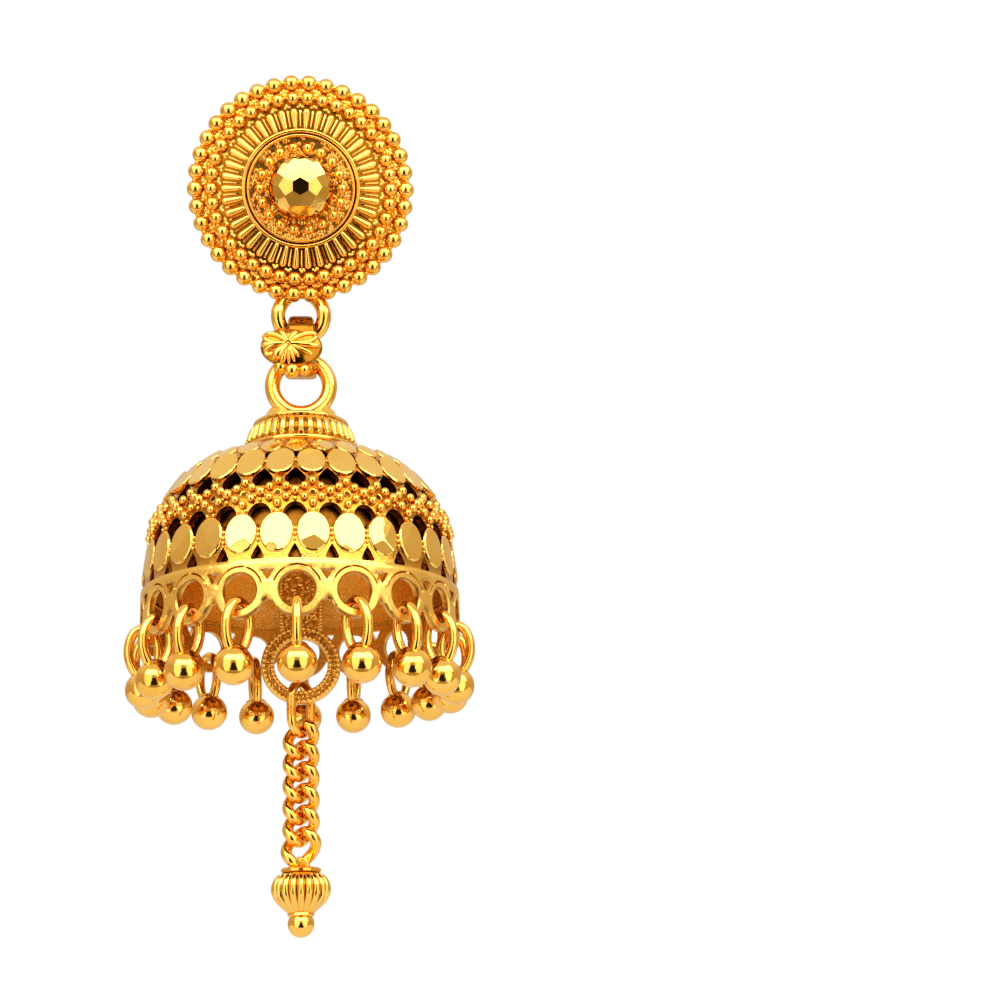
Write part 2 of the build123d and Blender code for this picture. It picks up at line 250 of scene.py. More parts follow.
# %% Draw a wire
def wire(metal, path, radius, cols=12, closed=False, flat=(1.0, 1.0), up=None, painted_shade=0.0):
    """Draw a round wire along a path; open ends are rounded over."""
    path = np.asarray(path, float)
    count = len(path)
    if closed:
        along = np.roll(path, -1, 0) - np.roll(path, 1, 0)
    else:
        along = np.gradient(path, axis=0)
    along /= np.linalg.norm(along, axis=1)[:, None]
    radii = np.broadcast_to(radius, (count,)).astype(float)
    side = np.zeros_like(path)
    start = np.array(up if up is not None else (0.12, 0.31, 0.94), float)
    side[0] = np.cross(along[0], start)
    side[0] /= np.linalg.norm(side[0])
    for k in range(1, count):
        if up is not None:
            side[k] = np.cross(along[k], start)
        else:
            side[k] = side[k - 1] - along[k] * (side[k - 1] @ along[k])
        side[k] /= np.linalg.norm(side[k])
    turn = np.zeros(count)
    if closed and up is None:
        last = side[-1] - along[0] * (side[-1] @ along[0])
        last /= np.linalg.norm(last)
        twist = math.atan2(np.cross(side[0], last) @ along[0], side[0] @ last)
        turn = -twist * np.arange(count) / count
    other = np.cross(along, side)
    angle = np.arange(cols) * 2 * math.pi / cols + turn[:, None]
    rim = (side[:, None] * np.cos(angle)[..., None] * flat[0]
           + other[:, None] * np.sin(angle)[..., None] * flat[1])
    points = path[:, None] + rim * radii[:, None, None]
    if closed:
        metal.add(points, grid_faces(count, cols, wrap_rows=True), painted_shade)
        return
    ends = []
    for k, sign in ((0, -1), (-1, 1)):
        caps = []
        for out, width in ((0.5, 0.86), (0.86, 0.5), (1.0, 0.0)):
            caps.append(path[k] + along[k] * sign * out * radii[k] + rim[k] * radii[k] * width)
        ends.append(caps)
    rows = ends[0][::-1] + list(points) + ends[1]
    metal.add(np.stack(rows), grid_faces(len(rows), cols), painted_shade)


print("wire ready, with open or joined ends")

# %% Circles and smooth lines
def circle(centre, u, v, radius, steps):
    """Points evenly round a circle that lies in the plane of u and v."""
    a = np.linspace(0.0, 2 * math.pi, steps, endpoint=False)
    return np.asarray(centre) + radius * (np.cos(a)[:, None] * u + np.sin(a)[:, None] * v)


def smooth_line(points, steps=12, closed=False):
    """A smooth curve through points, for outlines and profiles."""
    p = np.asarray(points, float)
    n = len(p)
    out = []
    for i in range(n if closed else n - 1):
        if closed:
            a, b, c, d = p[i - 1], p[i], p[(i + 1) % n], p[(i + 2) % n]
        else:
            a, b, c, d = p[max(i - 1, 0)], p[i], p[i + 1], p[min(i + 2, n - 1)]
        for t in np.arange(steps) / steps:
            out.append(0.5 * (2 * b + (c - a) * t + (2 * a - 5 * b + 4 * c - d) * t ** 2
                              + (3 * b - a - 3 * c + d) * t ** 3))
    if not closed:
        out.append(p[-1])
    return np.array(out)


print("circles and smooth lines ready")

# %% [markdown]
# ## The gold
# Gold plate over brass is warm and very reflective, so nearly all of its look is what it
# mirrors. A jeweller's polish still leaves fine waves and hairlines, and recesses are
# given painted shade. One recipe makes all the finishes here, and
# these are its parts: random patches, a pair of tints that follows them, and a bump.

# %% Patches and tints
def patches(tree, scale, detail):
    """Soft random patches fixed to the metal, `scale` of them to the metre."""
    place = tree.nodes.new("ShaderNodeTexCoord")
    noise = tree.nodes.new("ShaderNodeTexNoise")
    noise.inputs["Scale"].default_value = scale
    noise.inputs["Detail"].default_value = detail
    tree.links.new(place.outputs["Object"], noise.inputs["Vector"])
    return noise.outputs["Fac"]


def tints(tree, amount, low, high, start=0.0, stop=1.0):
    """A colour that goes from low to high as the amount goes from start to stop."""
    ramp = tree.nodes.new("ShaderNodeValToRGB")
    first, last = ramp.color_ramp.elements
    first.position = start
    first.color = (*low, 1)
    last.position = stop
    last.color = (*high, 1)
    tree.links.new(amount, ramp.inputs["Fac"])
    return ramp.outputs["Color"]


def blended(tree, amount, near, far):
    """One colour turning into another as the amount goes from 0 to 1."""
    mix = tree.nodes.new("ShaderNodeMix")
    mix.data_type = "RGBA"
    tree.links.new(amount, mix.inputs["Factor"])
    tree.links.new(near, mix.inputs["A"])
    tree.links.new(far, mix.inputs["B"])
    return mix.outputs["Result"]


print("patches and tints ready")

# %% Numbers
def spread(tree, amount, start, stop, low=0.0, high=1.0):
    """A number that goes from low to high as the amount goes from start to stop."""
    scale = tree.nodes.new("ShaderNodeMapRange")
    scale.inputs["From Min"].default_value = start
    scale.inputs["From Max"].default_value = stop
    scale.inputs["To Min"].default_value = low
    scale.inputs["To Max"].default_value = high
    tree.links.new(amount, scale.inputs["Value"])
    return scale.outputs["Result"]


print("numbers can follow an amount")

# %% Relief
MICRON = 1e-6


def bump(tree, height, microns):
    """Relief of this many micrometres; its Normal input takes the relief under it."""
    relief = tree.nodes.new("ShaderNodeBump")
    relief.inputs["Strength"].default_value = 1.0
    relief.inputs["Distance"].default_value = microns * MICRON
    tree.links.new(height, relief.inputs["Height"])
    return relief


print("parts of a finish ready")

# %% [markdown]
# ## Five finishes from one recipe
# Two tints drift over the metal. Where it carries painted shade it darkens to a deep orange
# brown, and from 1 to 2 to black, the painted shade inside the dome. Fine grain decides
# both the roughness from spot to spot and the pits, and soft waves from the buff lie under
# the pits. Flat cuts are left like mirrors; the rim, the strap and the floor of the stud
# have been handled most and never polished again.

# %% Tints of the gold
PALE = ((0.95, 0.56, 0.115), (1.0, 0.62, 0.145))
WARM = ((0.90, 0.47, 0.075), (1.0, 0.58, 0.12))
# The next two are the colours of painted shade: deep orange brown at 1 and black at 2.
DEEP = (0.52, 0.20, 0.014)
SHADE_BLACK = ((0.05, 0.016, 0.002), (0.09, 0.030, 0.004))
DRIFT = 420.0          # patches of tint to the metre
WAVES = 1500.0         # waves left by the buff to the metre
print("brightest tint", PALE[1], "and deepest", DEEP)

# %% The recipe
def gold(name, colours, rough, wave, grain, grain_size):
    """A gold finish: roughness from and to, heights in micrometres, grain size in mm."""
    finish = bpy.data.materials.new(name)
    finish.use_nodes = True
    tree = finish.node_tree
    tree.nodes.clear()
    out = tree.nodes.new("ShaderNodeOutputMaterial")
    metal = tree.nodes.new("ShaderNodeBsdfPrincipled")
    metal.inputs["Metallic"].default_value = 1.0
    tree.links.new(metal.outputs["BSDF"], out.inputs["Surface"])

    # Painted shade: the per-point amount turns the tint to deep orange brown at 1 and to black at 2.
    recess = tree.nodes.new("ShaderNodeAttribute")
    recess.attribute_name = "painted_shade"
    painted_shade = recess.outputs["Fac"]
    drift = patches(tree, DRIFT, 4.0)
    bright = tints(tree, drift, *colours, 0.32, 0.68)
    shaded = tints(tree, drift, DEEP, tuple(0.55 * c for c in DEEP))
    black_shade = tints(tree, drift, *SHADE_BLACK)
    shaded_mix = blended(tree, painted_shade, bright, shaded)
    colour = blended(tree, spread(tree, painted_shade, 1.0, 2.0), shaded_mix, black_shade)
    tree.links.new(colour, metal.inputs["Base Color"])

    fine = patches(tree, 1.0 / (grain_size * MM), 3.0)
    dull = spread(tree, fine, 0.3, 0.7, *rough)
    tree.links.new(dull, metal.inputs["Roughness"])
    waves = bump(tree, patches(tree, WAVES, 2.0), wave)
    pits = bump(tree, fine, grain)
    tree.links.new(waves.outputs["Normal"], pits.inputs["Normal"])
    tree.links.new(pits.outputs["Normal"], metal.inputs["Normal"])
    return finish


print("a finish needs tints, roughness, waves and grain")

# %% Five finishes
mirror = gold("flat_cut_gold", PALE, (0.04, 0.08), 3, 0.5, 0.12)
polished = gold("polished_gold", WARM, (0.08, 0.14), 10, 1.0, 0.12)
grained = gold("granulated_gold", WARM, (0.08, 0.16), 14, 3.0, 0.16)
textured = gold("textured_gold", WARM, (0.12, 0.26), 26, 12.0, 0.13)
worn = gold("rim_gold", PALE, (0.22, 0.36), 16, 9.0, 0.20)
print("finishes:", [f.name for f in (mirror, polished, grained, textured, worn)])

# %% [markdown]
# ## The ear stud
# The drop's weight pulls the stud's face down a little, so the stud has directions of its
# own: right, up along the plate, and out from its face. It is worked lying flat, with
# its face up and the middle of its back at the origin, and each point is turned into
# place as it is made. First comes the plate: a sheet that falls away in low steps from
# the floor in the middle to the edge.

# %% Directions of the stud
DROOP = math.radians(20)
stud_up = np.array([0, -math.sin(DROOP), math.cos(DROOP)])
stud_out = np.array([0, -math.cos(DROOP), -math.sin(DROOP)])
stud_matrix = np.stack([X, stud_up, stud_out]).T


class Turned(Metal):
    """Metal that is moved into place as it is made."""

    def __init__(self, matrix, shift=(0, 0, 0)):
        super().__init__()
        self.matrix = matrix
        self.shift = np.asarray(shift, float)

    def add(self, points, faces, painted_shade=0.0):
        points = np.asarray(points, float).reshape(-1, 3) @ self.matrix.T + self.shift
        super().add(points, faces, painted_shade)


def polar(radius, angle, height):
    """A point on the stud, with angle measured from its top towards the right."""
    return np.array([radius * math.sin(angle), radius * math.cos(angle), height])


print("the stud leans forward by", round(math.degrees(DROOP)), "degrees")

# %% Plate
# Radius and height, from the middle of the back round the edge to the sunk floor.
plate_side = [
    (0.0, 0.0), (3.0, 0.0), (3.04, 0.04), (3.2, 0.04), (3.24, 0.0), (6.3, 0.0), (6.34, 0.04),
    (6.5, 0.04), (6.54, 0.0), (7.60, 0.0), (7.90, 0.14), (8.02, 0.34), (7.90, 0.52),
    (7.50, 0.60), (7.20, 0.68), (6.80, 0.80), (6.40, 0.90), (6.05, 0.96), (5.90, 0.98),
    (5.20, 1.12), (4.50, 1.22), (4.40, 1.24), (4.40, 0.9), (0.0, 0.9),
]
UNDER_GRAINS = (4.3, 7.7)      # the ring of plate that lies under grains and rays
RAYS_END = 5.95


def plate_painted_shade(radius, height):
    """Painted shade: a little everywhere, more on the ground under the grains, most between the rays."""
    if height < 0.5 or not UNDER_GRAINS[0] < radius < UNDER_GRAINS[1]:
        return 0.1
    return 1.25 if radius < RAYS_END else 1.0


plate = Turned(stud_matrix)
turned(plate, plate_side, 152, painted_shade=[plate_painted_shade(r, h) for r, h in plate_side])
plate.make("stud_plate_sheet", "stud", textured, "textured_gold", replaces=("stud_plate",))

# %% [markdown]
# ## Two rings of grains
# The grains of the two rings stand in step, one outer grain over each inner one. In the
# notch between two grains sits a small one, and filings that melted with them fill the
# ground. The foot of every grain gets painted shade.

# %% Grain rings
GRAINS = 38
GRAIN_STEP = 2 * math.pi / GRAINS
FIRST_GRAIN = 0.44             # of a step to the right of the top
rings = Turned(stud_matrix)
for i in range(GRAINS):
    a = (i + FIRST_GRAIN) * GRAIN_STEP
    b = a + GRAIN_STEP / 2
    outer_size = 0.625 + 0.015 * math.sin(5 * i)
    inner_size = 0.50 + 0.015 * math.cos(3 * i)
    grains(rings, [polar(7.76, a, 0.58)], [outer_size], cols=20, rows=14, outward=Z, foot=0.9)
    grains(rings, [polar(6.62, a, 1.02)], [inner_size], cols=18, rows=12, outward=Z, foot=0.9)
    grains(rings, [polar(7.86, b, 0.62), polar(6.72, b, 0.98)], [0.19, 0.16], cols=10, rows=7)
rings.make("stud_grain_rings", "stud", grained, "granulated_gold")

# %% Fused filings
# Radius, height, size and number of the filings in each notch.
FILINGS = [(7.20, 0.60, 0.30, 4), (6.10, 0.90, 0.22, 3)]
chance = random.Random(21)
filings = Turned(stud_matrix)
for i in range(GRAINS):
    b = (i + FIRST_GRAIN + 0.5) * GRAIN_STEP
    for radius, height, size, count in FILINGS:
        for k in range(count):
            t = k * 2 * math.pi / count + chance.uniform(-0.4, 0.4)
            reach = size * (0.0 if k == 0 else 0.85)
            spot = polar(radius + reach * math.cos(t), b + reach * math.sin(t) / radius, height)
            # The feet of the filings get painted shade.
            grains(filings, [spot], [size * chance.uniform(0.6, 0.9)], cols=6, rows=4,
                   outward=Z, foot=0.9)
filings.make("stud_fused_filings", "stud", textured, "textured_gold", crease_deg=12)

# %% [markdown]
# ## Rays
# Inside the grains, round bars lie side by side like rays, each swelling outwards to fill
# the widening space, with a hair of wire in the gap between two bars.

# %% Rays
bars = Turned(stud_matrix)
for i in range(GRAINS):
    a = (i + FIRST_GRAIN) * GRAIN_STEP
    b = a + GRAIN_STEP / 2
    stations = np.linspace(0, 1, 12)
    bar = [polar(4.50 + 1.16 * t, a, 1.40 - 0.30 * t) for t in stations]
    wire(bars, bar, np.interp(stations, [0, 1], [0.17, 0.27]), cols=14)
    stations = np.linspace(0, 1, 5)
    hair = [polar(4.55 + 1.15 * t, b, 1.28 - 0.24 * t) for t in stations]
    wire(bars, hair, np.interp(stations, [0, 1], [0.05, 0.10]), cols=8)
bars.make("stud_rays", "stud", mirror, "polished_gold")

# %% [markdown]
# ## Wire ring, inner row and sunk floor
# Two drawn wires frame the floor, on a low wall with a groove between them. A row of
# eighteen grains stands on the floor, and a plain collar holds the ball. The floor
# itself is strewn with filings of every size, at random.

# %% Wires and inner row
inner = Turned(stud_matrix)
for radius, height, thick in ((4.24, 1.44, 0.15), (3.90, 1.40, 0.10)):
    wire(inner, circle(Z * height, X, Y, radius, 120), thick, cols=12, closed=True)
grooved_wall = [(4.36, 1.0), (4.36, 1.30), (4.20, 1.40), (4.12, 1.18), (4.05, 1.18),
                (3.98, 1.36), (3.84, 1.36), (3.80, 1.0)]
# Painted shade on the grooved wall, darkest in the groove.
turned(inner, grooved_wall, 120, painted_shade=[0.3, 0.3, 0.3, 1.0, 1.0, 0.3, 0.3, 0.3])
INNER_ROW = 18
row = [polar(3.03, (i + 0.46) * 2 * math.pi / INNER_ROW, 1.22) for i in range(INNER_ROW)]
# The feet of the inner row get painted shade.
grains(inner, row, 0.385, cols=18, rows=12, outward=Z, foot=0.8)
turned(inner, [(2.20, 0.9), (2.40, 0.95), (2.44, 1.02), (2.36, 1.10), (2.05, 1.10)], 96)
inner.make("stud_wire_and_inner_row", "stud", polished, "polished_gold")

# %% Sunk floor
FLOOR_FILINGS = 330
floor = Turned(stud_matrix)
floor_side = [(0.0, 0.92), (3.9, 0.92), (3.9, 1.04), (3.3, 1.0), (2.4, 1.02), (0.0, 1.02)]
# The floor sheet is painted in shade at 0.7, and the feet of its filings at 0.4.
turned(floor, floor_side, 60, painted_shade=0.7)
for i in range(FLOOR_FILINGS):
    t = chance.uniform(0, 2 * math.pi)
    r = math.sqrt(chance.uniform(2.45 ** 2, 3.82 ** 2))
    size = chance.uniform(0.14, 0.28)
    grains(floor, [polar(r, t, 1.06 - 0.5 * size)], [size], cols=8, rows=5, outward=Z, foot=0.4)
floor.make("stud_sunk_floor", "stud", worn, "granulated_gold", crease_deg=20)

# %% [markdown]
# ## The faceted ball
# A facet is what is left when a flat tool takes the ball down to one plane. So the ball
# is the space inside many such planes: each corner is where three neighbouring planes
# meet, and the corners round one plane make its facet. The planes that are neighbours
# come from a hull round their directions, and a cutter's hand is never quite even, so
# each plane's slope is a little off.

# %% From planes to facets
def facet_ball(metal, planes, centre):
    """The solid inside these planes, each given by its direction and its distance."""
    work = bmesh.new()
    for d, distance in planes:
        work.verts.new(tuple(d / distance))
    work.verts.ensure_lookup_table()
    work.verts.index_update()
    bmesh.ops.convex_hull(work, input=work.verts)
    corners = [[] for _ in planes]
    for face in work.faces:
        ids = [v.index for v in face.verts][:3]
        directions = np.array([planes[i][0] for i in ids])
        corner = np.linalg.solve(directions, np.array([planes[i][1] for i in ids]))
        for v in face.verts:
            corners[v.index].append(corner)
    work.free()
    for (d, _), found in zip(planes, corners):
        u, v, _ = frame_about(d, np.array([0.3, 0.9, 0.2]))
        found.sort(key=lambda c: math.atan2((c - d) @ v, (c - d) @ u))
        points = [c for k, c in enumerate(found) if np.linalg.norm(c - found[k - 1]) > 1e-4]
        n = len(points)
        if n > 2:
            fan = [(n, k, (k + 1) % n) for k in range(n)]
            facet = np.array(points + [np.mean(points, 0)]) + centre
            # Each facet gets a random amount of painted shade.
            metal.add(facet, fan, chance.uniform(0, 0.35))


print("planes can be turned into facets")

# %% Facet rings
TABLE = 3.30                   # the flat on the crown of the ball, above its centre
# How many facets a ring has, where it starts, its slope in degrees, and its distance.
FACET_RINGS = [(6, 0, 19, 3.30), (12, 15, 33, 3.30), (16, 4, 44, 3.30), (16, 15, 66, 2.98),
               (16, 4, 89, 2.34)]


def facet_planes():
    """A low cut dome in rings of facets, with upright sides and a flat back."""
    planes = [(Z, TABLE)]
    for count, start, slope, distance in FACET_RINGS:
        for k in range(count):
            a = math.radians(start + k * 360 / count)
            p = math.radians(slope + chance.uniform(-1.8, 1.8))
            d = np.array([math.sin(p) * math.cos(a), math.sin(p) * math.sin(a), math.cos(p)])
            planes.append((d, distance))
    planes.append((-Z, 0.4))
    return planes


print("facets:", 2 + sum(count for count, *_ in FACET_RINGS))

# %% Cut the ball
cut_ball = Turned(stud_matrix)
facet_ball(cut_ball, facet_planes(), np.array([0, 0, 0.26]))
cut_ball.make("stud_faceted_ball", "stud", mirror, "polished_gold", crease_deg=5)

# %% [markdown]
# ## Loop, post and nut
# A stout wire loop under the plate carries the bail. It is an open arc, and both its
# ends sink behind the lowest grains, where they are soldered. The post is plain wire
# with a small fillet at its foot and a groove near its end, and takes a round nut.
# Neither shows from the front, so both are kept plain.

# %% Loop
LOOP_RADIUS = 1.70             # to the middle of the wire
LOOP_WIRE = 0.54               # half its thickness
LOOP_DOWN = 9.35               # from the stud's middle to the loop's, along the plate
loop = Turned(stud_matrix)
bend = np.radians(np.linspace(128, 412, 90))
sunk = ease(0.0, math.sin(math.radians(50)), np.sin(bend)) * 0.62
arc = np.stack([LOOP_RADIUS * np.cos(bend), -LOOP_DOWN + LOOP_RADIUS * np.sin(bend), 0.6 - sunk], -1)
wire(loop, arc, LOOP_WIRE, cols=24)
solder_bar = [(-0.9, -7.75, 0.42), (0, -7.72, 0.42), (0.9, -7.75, 0.42)]
wire(loop, solder_bar, 0.40, cols=14)
loop.make("stud_loop", "stud", polished, "polished_gold")

# %% Post and nut
# Radius and height of the post, from inside the plate to its rounded tip.
post_side = [(0.0, 0.05), (1.05, 0.05), (1.0, -0.05), (0.70, -0.14), (0.52, -0.34), (0.45, -0.7),
             (0.45, -8.9), (0.41, -9.0), (0.41, -9.15), (0.45, -9.25), (0.45, -10.6),
             (0.38, -10.85), (0.2, -10.97), (0.0, -11.0)]
post = Turned(stud_matrix)
# A little painted shade all over the post.
turned(post, post_side, 28, painted_shade=0.1)
post.make("ear_post", "stud", polished, "polished_gold")
nut = frame["nodes"]["post_nut"]
nut.data.materials.clear()
nut.data.materials.append(polished)
print("the nut keeps its own solid and takes the", polished.name, "finish")

# %% [markdown]
# ## The bail
# The bail is an upright oval band through both wire rings. The stud's loop hangs in its
# head and the crown's ring in its foot, and each needs a little clearance. A ring is
# round, so its wire climbs away to both sides; the mouth of the band is flared to match,
# narrow at the very inside and full width only further out.

# %% Room inside the bail
RING_RADIUS = 2.105            # crown ring, to the middle of its wire
RING_WIRE = 0.565              # half the wire's thickness
CLEAR = 0.13
ROUND_BAND = 56
opening_top = pivot_z + LOOP_WIRE + CLEAR
opening_foot = ring_z + RING_RADIUS - RING_WIRE - CLEAR


def stadium(y_front, y_back, z_low, z_high, angle):
    """A point on an upright oval with straight sides."""
    r = (y_back - y_front) / 2
    mid_y = (y_front + y_back) / 2
    lift = np.where(np.sin(angle) > 0, z_high - r, z_low + r)
    return mid_y + r * np.cos(angle), lift + r * np.sin(angle)


print("the opening is %.2f mm high" % (opening_top - opening_foot))

# %% Band
a = np.arange(ROUND_BAND) * 2 * math.pi / ROUND_BAND
inner_y, inner_z = stadium(axis_y - 0.9, axis_y + 0.9, opening_foot, opening_top, a)
outer_y, outer_z = stadium(axis_y - 1.8, axis_y + 1.7, opening_foot - 0.80, opening_top + 1.0, a)
width_heights = [opening_foot, opening_top - 1.2, opening_top + 0.6]
half_width = np.interp(outer_z, width_heights, [1.12, 1.10, 0.92])
# How far out through the band's thickness, and the share of the full width there.
BAND_SECTION = [(0.0, 0.45), (0.18, 0.72), (0.52, 1.0), (0.66, 1.04), (0.80, 1.0), (0.95, 0.86),
                (1.0, 0.6)]
right_side = []
left_side = []
for share, width in BAND_SECTION:
    x = width * half_width
    y = inner_y + (outer_y - inner_y) * share
    z = inner_z + (outer_z - inner_z) * share
    right_side.append(np.stack([x, y, z], -1))
    left_side.append(np.stack([-x, y, z], -1))
rows = right_side + left_side[::-1]
# Painted shade: some over the whole band, more on the head, which is in shade under the stud, most of all
# at its front.
shade = 0.6 + 0.85 * ease(-0.5, 0.1, np.sin(a)) * ease(0.2, -0.1, np.cos(a))
band = Metal()
band.add(np.stack(rows), grid_faces(len(rows), ROUND_BAND, wrap_rows=True), np.tile(shade, len(rows)))
band.make("bail_band", "bail", polished, "polished_gold", replaces=("bail_link",))

# %% [markdown]
# ## The carved flower
# The bail's front swells into a low boss, a little to the left, and three lobes close it
# at the foot. Leaves lie over the boss and all start from one small heart whose black
# middle is painted shade in place of a piercing. Most are solid, a wire that thickens
# outwards and rounds off; three are open, a rim of wire round a pocket. A carver varies
# every leaf, so each has its own row.

# %% Leaves and lobes
flower_x = -0.70
flower_z = (opening_top + opening_foot) / 2 - 0.40
heart = (-0.24, 0.12)
# Solid leaves: direction in degrees from the right, reach and half width.
LEAVES = [
    (118, 1.15, 0.34), (58, 1.15, 0.34), (-3, 2.30, 0.30), (-24, 2.00, 0.23), (-52, 1.25, 0.22),
    (-71, 1.40, 0.19), (-88, 1.46, 0.18), (-108, 1.50, 0.33), (-133, 1.50, 0.54), (-178, 1.95, 0.27),
]
# Open leaves: direction, reach, half width, wire radius.
OPEN_LEAVES = [(159, 1.85, 0.42, 0.19), (20, 2.15, 0.44, 0.19), (-157, 1.75, 0.36, 0.17)]
# Lobes at the foot: across and up from the flower's middle, and size.
FOOT_LOBES = [(0.02, -1.66, 0.62), (0.96, -1.62, 0.46), (-0.80, -1.40, 0.54)]
print("leaves:", len(LEAVES), "solid and", len(OPEN_LEAVES), "open")

# %% Boss
def on_boss(x, z, lift=0.0):
    """A point on the swelling behind the leaves, measured from the flower's middle."""
    body = np.sqrt(np.clip(1 - (x / 2.28) ** 2 - (z / 1.55) ** 2, 0, 1))
    y = axis_y - 1.50 - 0.54 * body - lift
    return np.stack([x + flower_x, y, z + flower_z], -1)


SPOKES = 96
a = np.arange(SPOKES) * 2 * math.pi / SPOKES
share = np.sin(np.linspace(0, math.pi / 2, 20))[:, None]
front = on_boss(2.27 * share * np.cos(a), 1.54 * share * np.sin(a))
edge = front[-1]
back = np.stack([edge[:, 0], np.full(SPOKES, axis_y - 1.40), edge[:, 2]], -1)
back_middle = np.repeat(np.mean(back, 0)[None, None], SPOKES, 1)
shape = np.concatenate([front, back[None], back_middle])
boss = Metal()
# The boss is painted in shade, so it reads dark between and inside the leaves.
boss.add(shape, grid_faces(len(shape), SPOKES), 0.95)
for x, z, size in FOOT_LOBES:
    grains(boss, [(flower_x + x, axis_y - 1.20, flower_z + z)], [size], cols=24, rows=16)
boss.make("bail_boss", "bail", polished, "polished_gold", crease_deg=60)

# %% Bail leaves
leaves = Metal()
t = np.linspace(0, 1, 26)
for degrees, reach, wide in LEAVES:
    d = math.radians(degrees)
    vein = on_boss(heart[0] + t * reach * math.cos(d), heart[1] + t * reach * math.sin(d), 0.06)
    wire(leaves, vein, wide * (0.42 + 0.58 * t) * np.sqrt(1 - 0.85 * t ** 5), cols=18)
turn = np.linspace(0, 2 * math.pi, 72, endpoint=False)
far = 0.5 - 0.5 * np.cos(turn)
for degrees, reach, wide, thick in OPEN_LEAVES:
    d = math.radians(degrees)
    along = 0.08 + far * (reach - 0.08)
    side = np.sin(turn) * (0.2 + 0.8 * far) ** 0.6 * wide
    x = heart[0] + along * math.cos(d) - side * math.sin(d)
    z = heart[1] + along * math.sin(d) + side * math.cos(d)
    wire(leaves, on_boss(x, z, 0.05), thick, cols=14, closed=True)
leaves.make("bail_leaves", "bail", polished, "polished_gold", crease_deg=60)

# %% Flower heart
# Radius, lift off the boss and painted shade of the little button in the middle; its black middle is
# painted shade in place of a piercing.
BUTTON = [(0.24, 0.10, 0.2), (0.20, 0.30, 0.1), (0.13, 0.35, 0.4), (0.08, 0.28, 1.8), (0.0, 0.28, 2.0)]
turn = np.linspace(0, 2 * math.pi, 24, endpoint=False)
rows = [on_boss(heart[0] + r * np.cos(turn), heart[1] + r * np.sin(turn), lift) for r, lift, _ in BUTTON]
pit = Metal()
pit.add(np.stack(rows), grid_faces(len(BUTTON), 24), np.repeat([deep for *_, deep in BUTTON], 24))
pit.make("bail_flower_heart", "bail", polished, "polished_gold")

# %% [markdown]
# ## Crown cap
# The fluted collar over the dome: a smooth brim, a narrow recess under it, upright ribs,
# and a plain foot. The ribs are part of the turned profile: each point of the profile
# says how far its ribs stand out and how much painted shade the cuts between them get.

# %% Profile of the crown
RIBS = 36
RIB_TOP = 1.98                 # above the crown's foot
# Radius, height above the foot, how far the ribs stand out, how much painted shade the cuts get.
crown_side = [
    (0.0, 2.75, 0, 0), (1.2, 2.73, 0, 0), (2.2, 2.67, 0, 0), (3.0, 2.47, 0, 0),
    (3.36, 2.29, 0, 0), (3.47, 2.21, 0, 0), (3.50, 2.13, 0, 0), (3.47, 2.06, 0, 0.3),
    (3.41, 2.02, 0, 0.9), (3.45, 1.96, 0.11, 0.9), (3.52, 1.83, 0.24, 1.25),
    (3.60, 1.71, 0.24, 1.25), (3.69, 1.61, 0.24, 1.25), (3.75, 1.47, 0.24, 1.25),
    (3.80, 1.31, 0.24, 1.25), (3.85, 1.13, 0.24, 1.25), (3.90, 0.95, 0.24, 1.25),
    (3.97, 0.77, 0.24, 1.25), (4.04, 0.65, 0.24, 1.25), (4.07, 0.57, 0.24, 1.25),
    (4.03, 0.49, 0.09, 0.8), (3.96, 0.43, 0.03, 0.9), (4.00, 0.37, 0, 0.5), (4.10, 0.31, 0, 0),
    (4.14, 0.21, 0, 0), (4.12, 0.09, 0, 0.1), (4.0, 0.005, 0, 0.3), (2.0, 0.005, 0, 0.5),
    (0.0, 0.005, 0, 0.5),
]
print("the crown is", crown_side[0][1], "mm high and has", RIBS, "ribs")

# %% Ribs and crown
def rib_wave(angle, k):
    """How far a rib stands out: 1 on its back, 0 in the cut between two ribs."""
    wave = np.abs(np.cos(angle * RIBS / 2))
    height = crown_side[k][1]
    return ease(0.35, 0.85, wave) * ease(0.0, 0.12, RIB_TOP - height)


def crown_flute(angle, k):
    return crown_side[k][2] * (rib_wave(angle, k) - 0.6)


def crown_painted_shade(angle, k):
    return crown_side[k][3] * (1 - rib_wave(angle, k))


cap = Metal()
profile = [(r, crown_foot_z + height) for r, height, *_ in crown_side]
turned(cap, profile, RIBS * 14, (0, axis_y), crown_flute, crown_painted_shade)
cap.make("crown_fluting", "drop", mirror, "polished_gold", crease_deg=50, replaces=("crown_cap",))

# %% [markdown]
# ## Crown ring
# The wire ring that takes the bail stands on the crown, and solder is drawn up at both
# its feet. The solder is a short wire that widens downwards, pressed a little flat.

# %% Crown ring
# Across from the axis, and down from the ring's middle.
SOLDER_FOOT = [(1.20, 1.611), (1.52, 1.811), (1.72, 2.161), (1.85, 2.611)]
crown_ring = Metal()
wire(crown_ring, circle(ring_centre, X, Z, RING_RADIUS, 120), RING_WIRE, cols=24, closed=True)
foot = smooth_line(SOLDER_FOOT, 6)
widths = np.interp(np.linspace(0, 1, len(foot)), [0, 0.4, 1], [0.42, 0.60, 0.95])
for side in (-1, 1):
    path = [(side * across, axis_y, ring_z - down) for across, down in foot]
    wire(crown_ring, path, widths, cols=20, flat=(0.8, 1.0))
crown_ring.make("crown_ring", "drop", polished, "polished_gold")

# %% [markdown]
# ## The dome's shape
# The dome is raised from sheet: a low shoulder, then a side that steepens until it is
# nearly upright at the rim. One curve gives the outline, and every row of ornament is
# placed on it by its depth below the flat top and its angle round the axis.

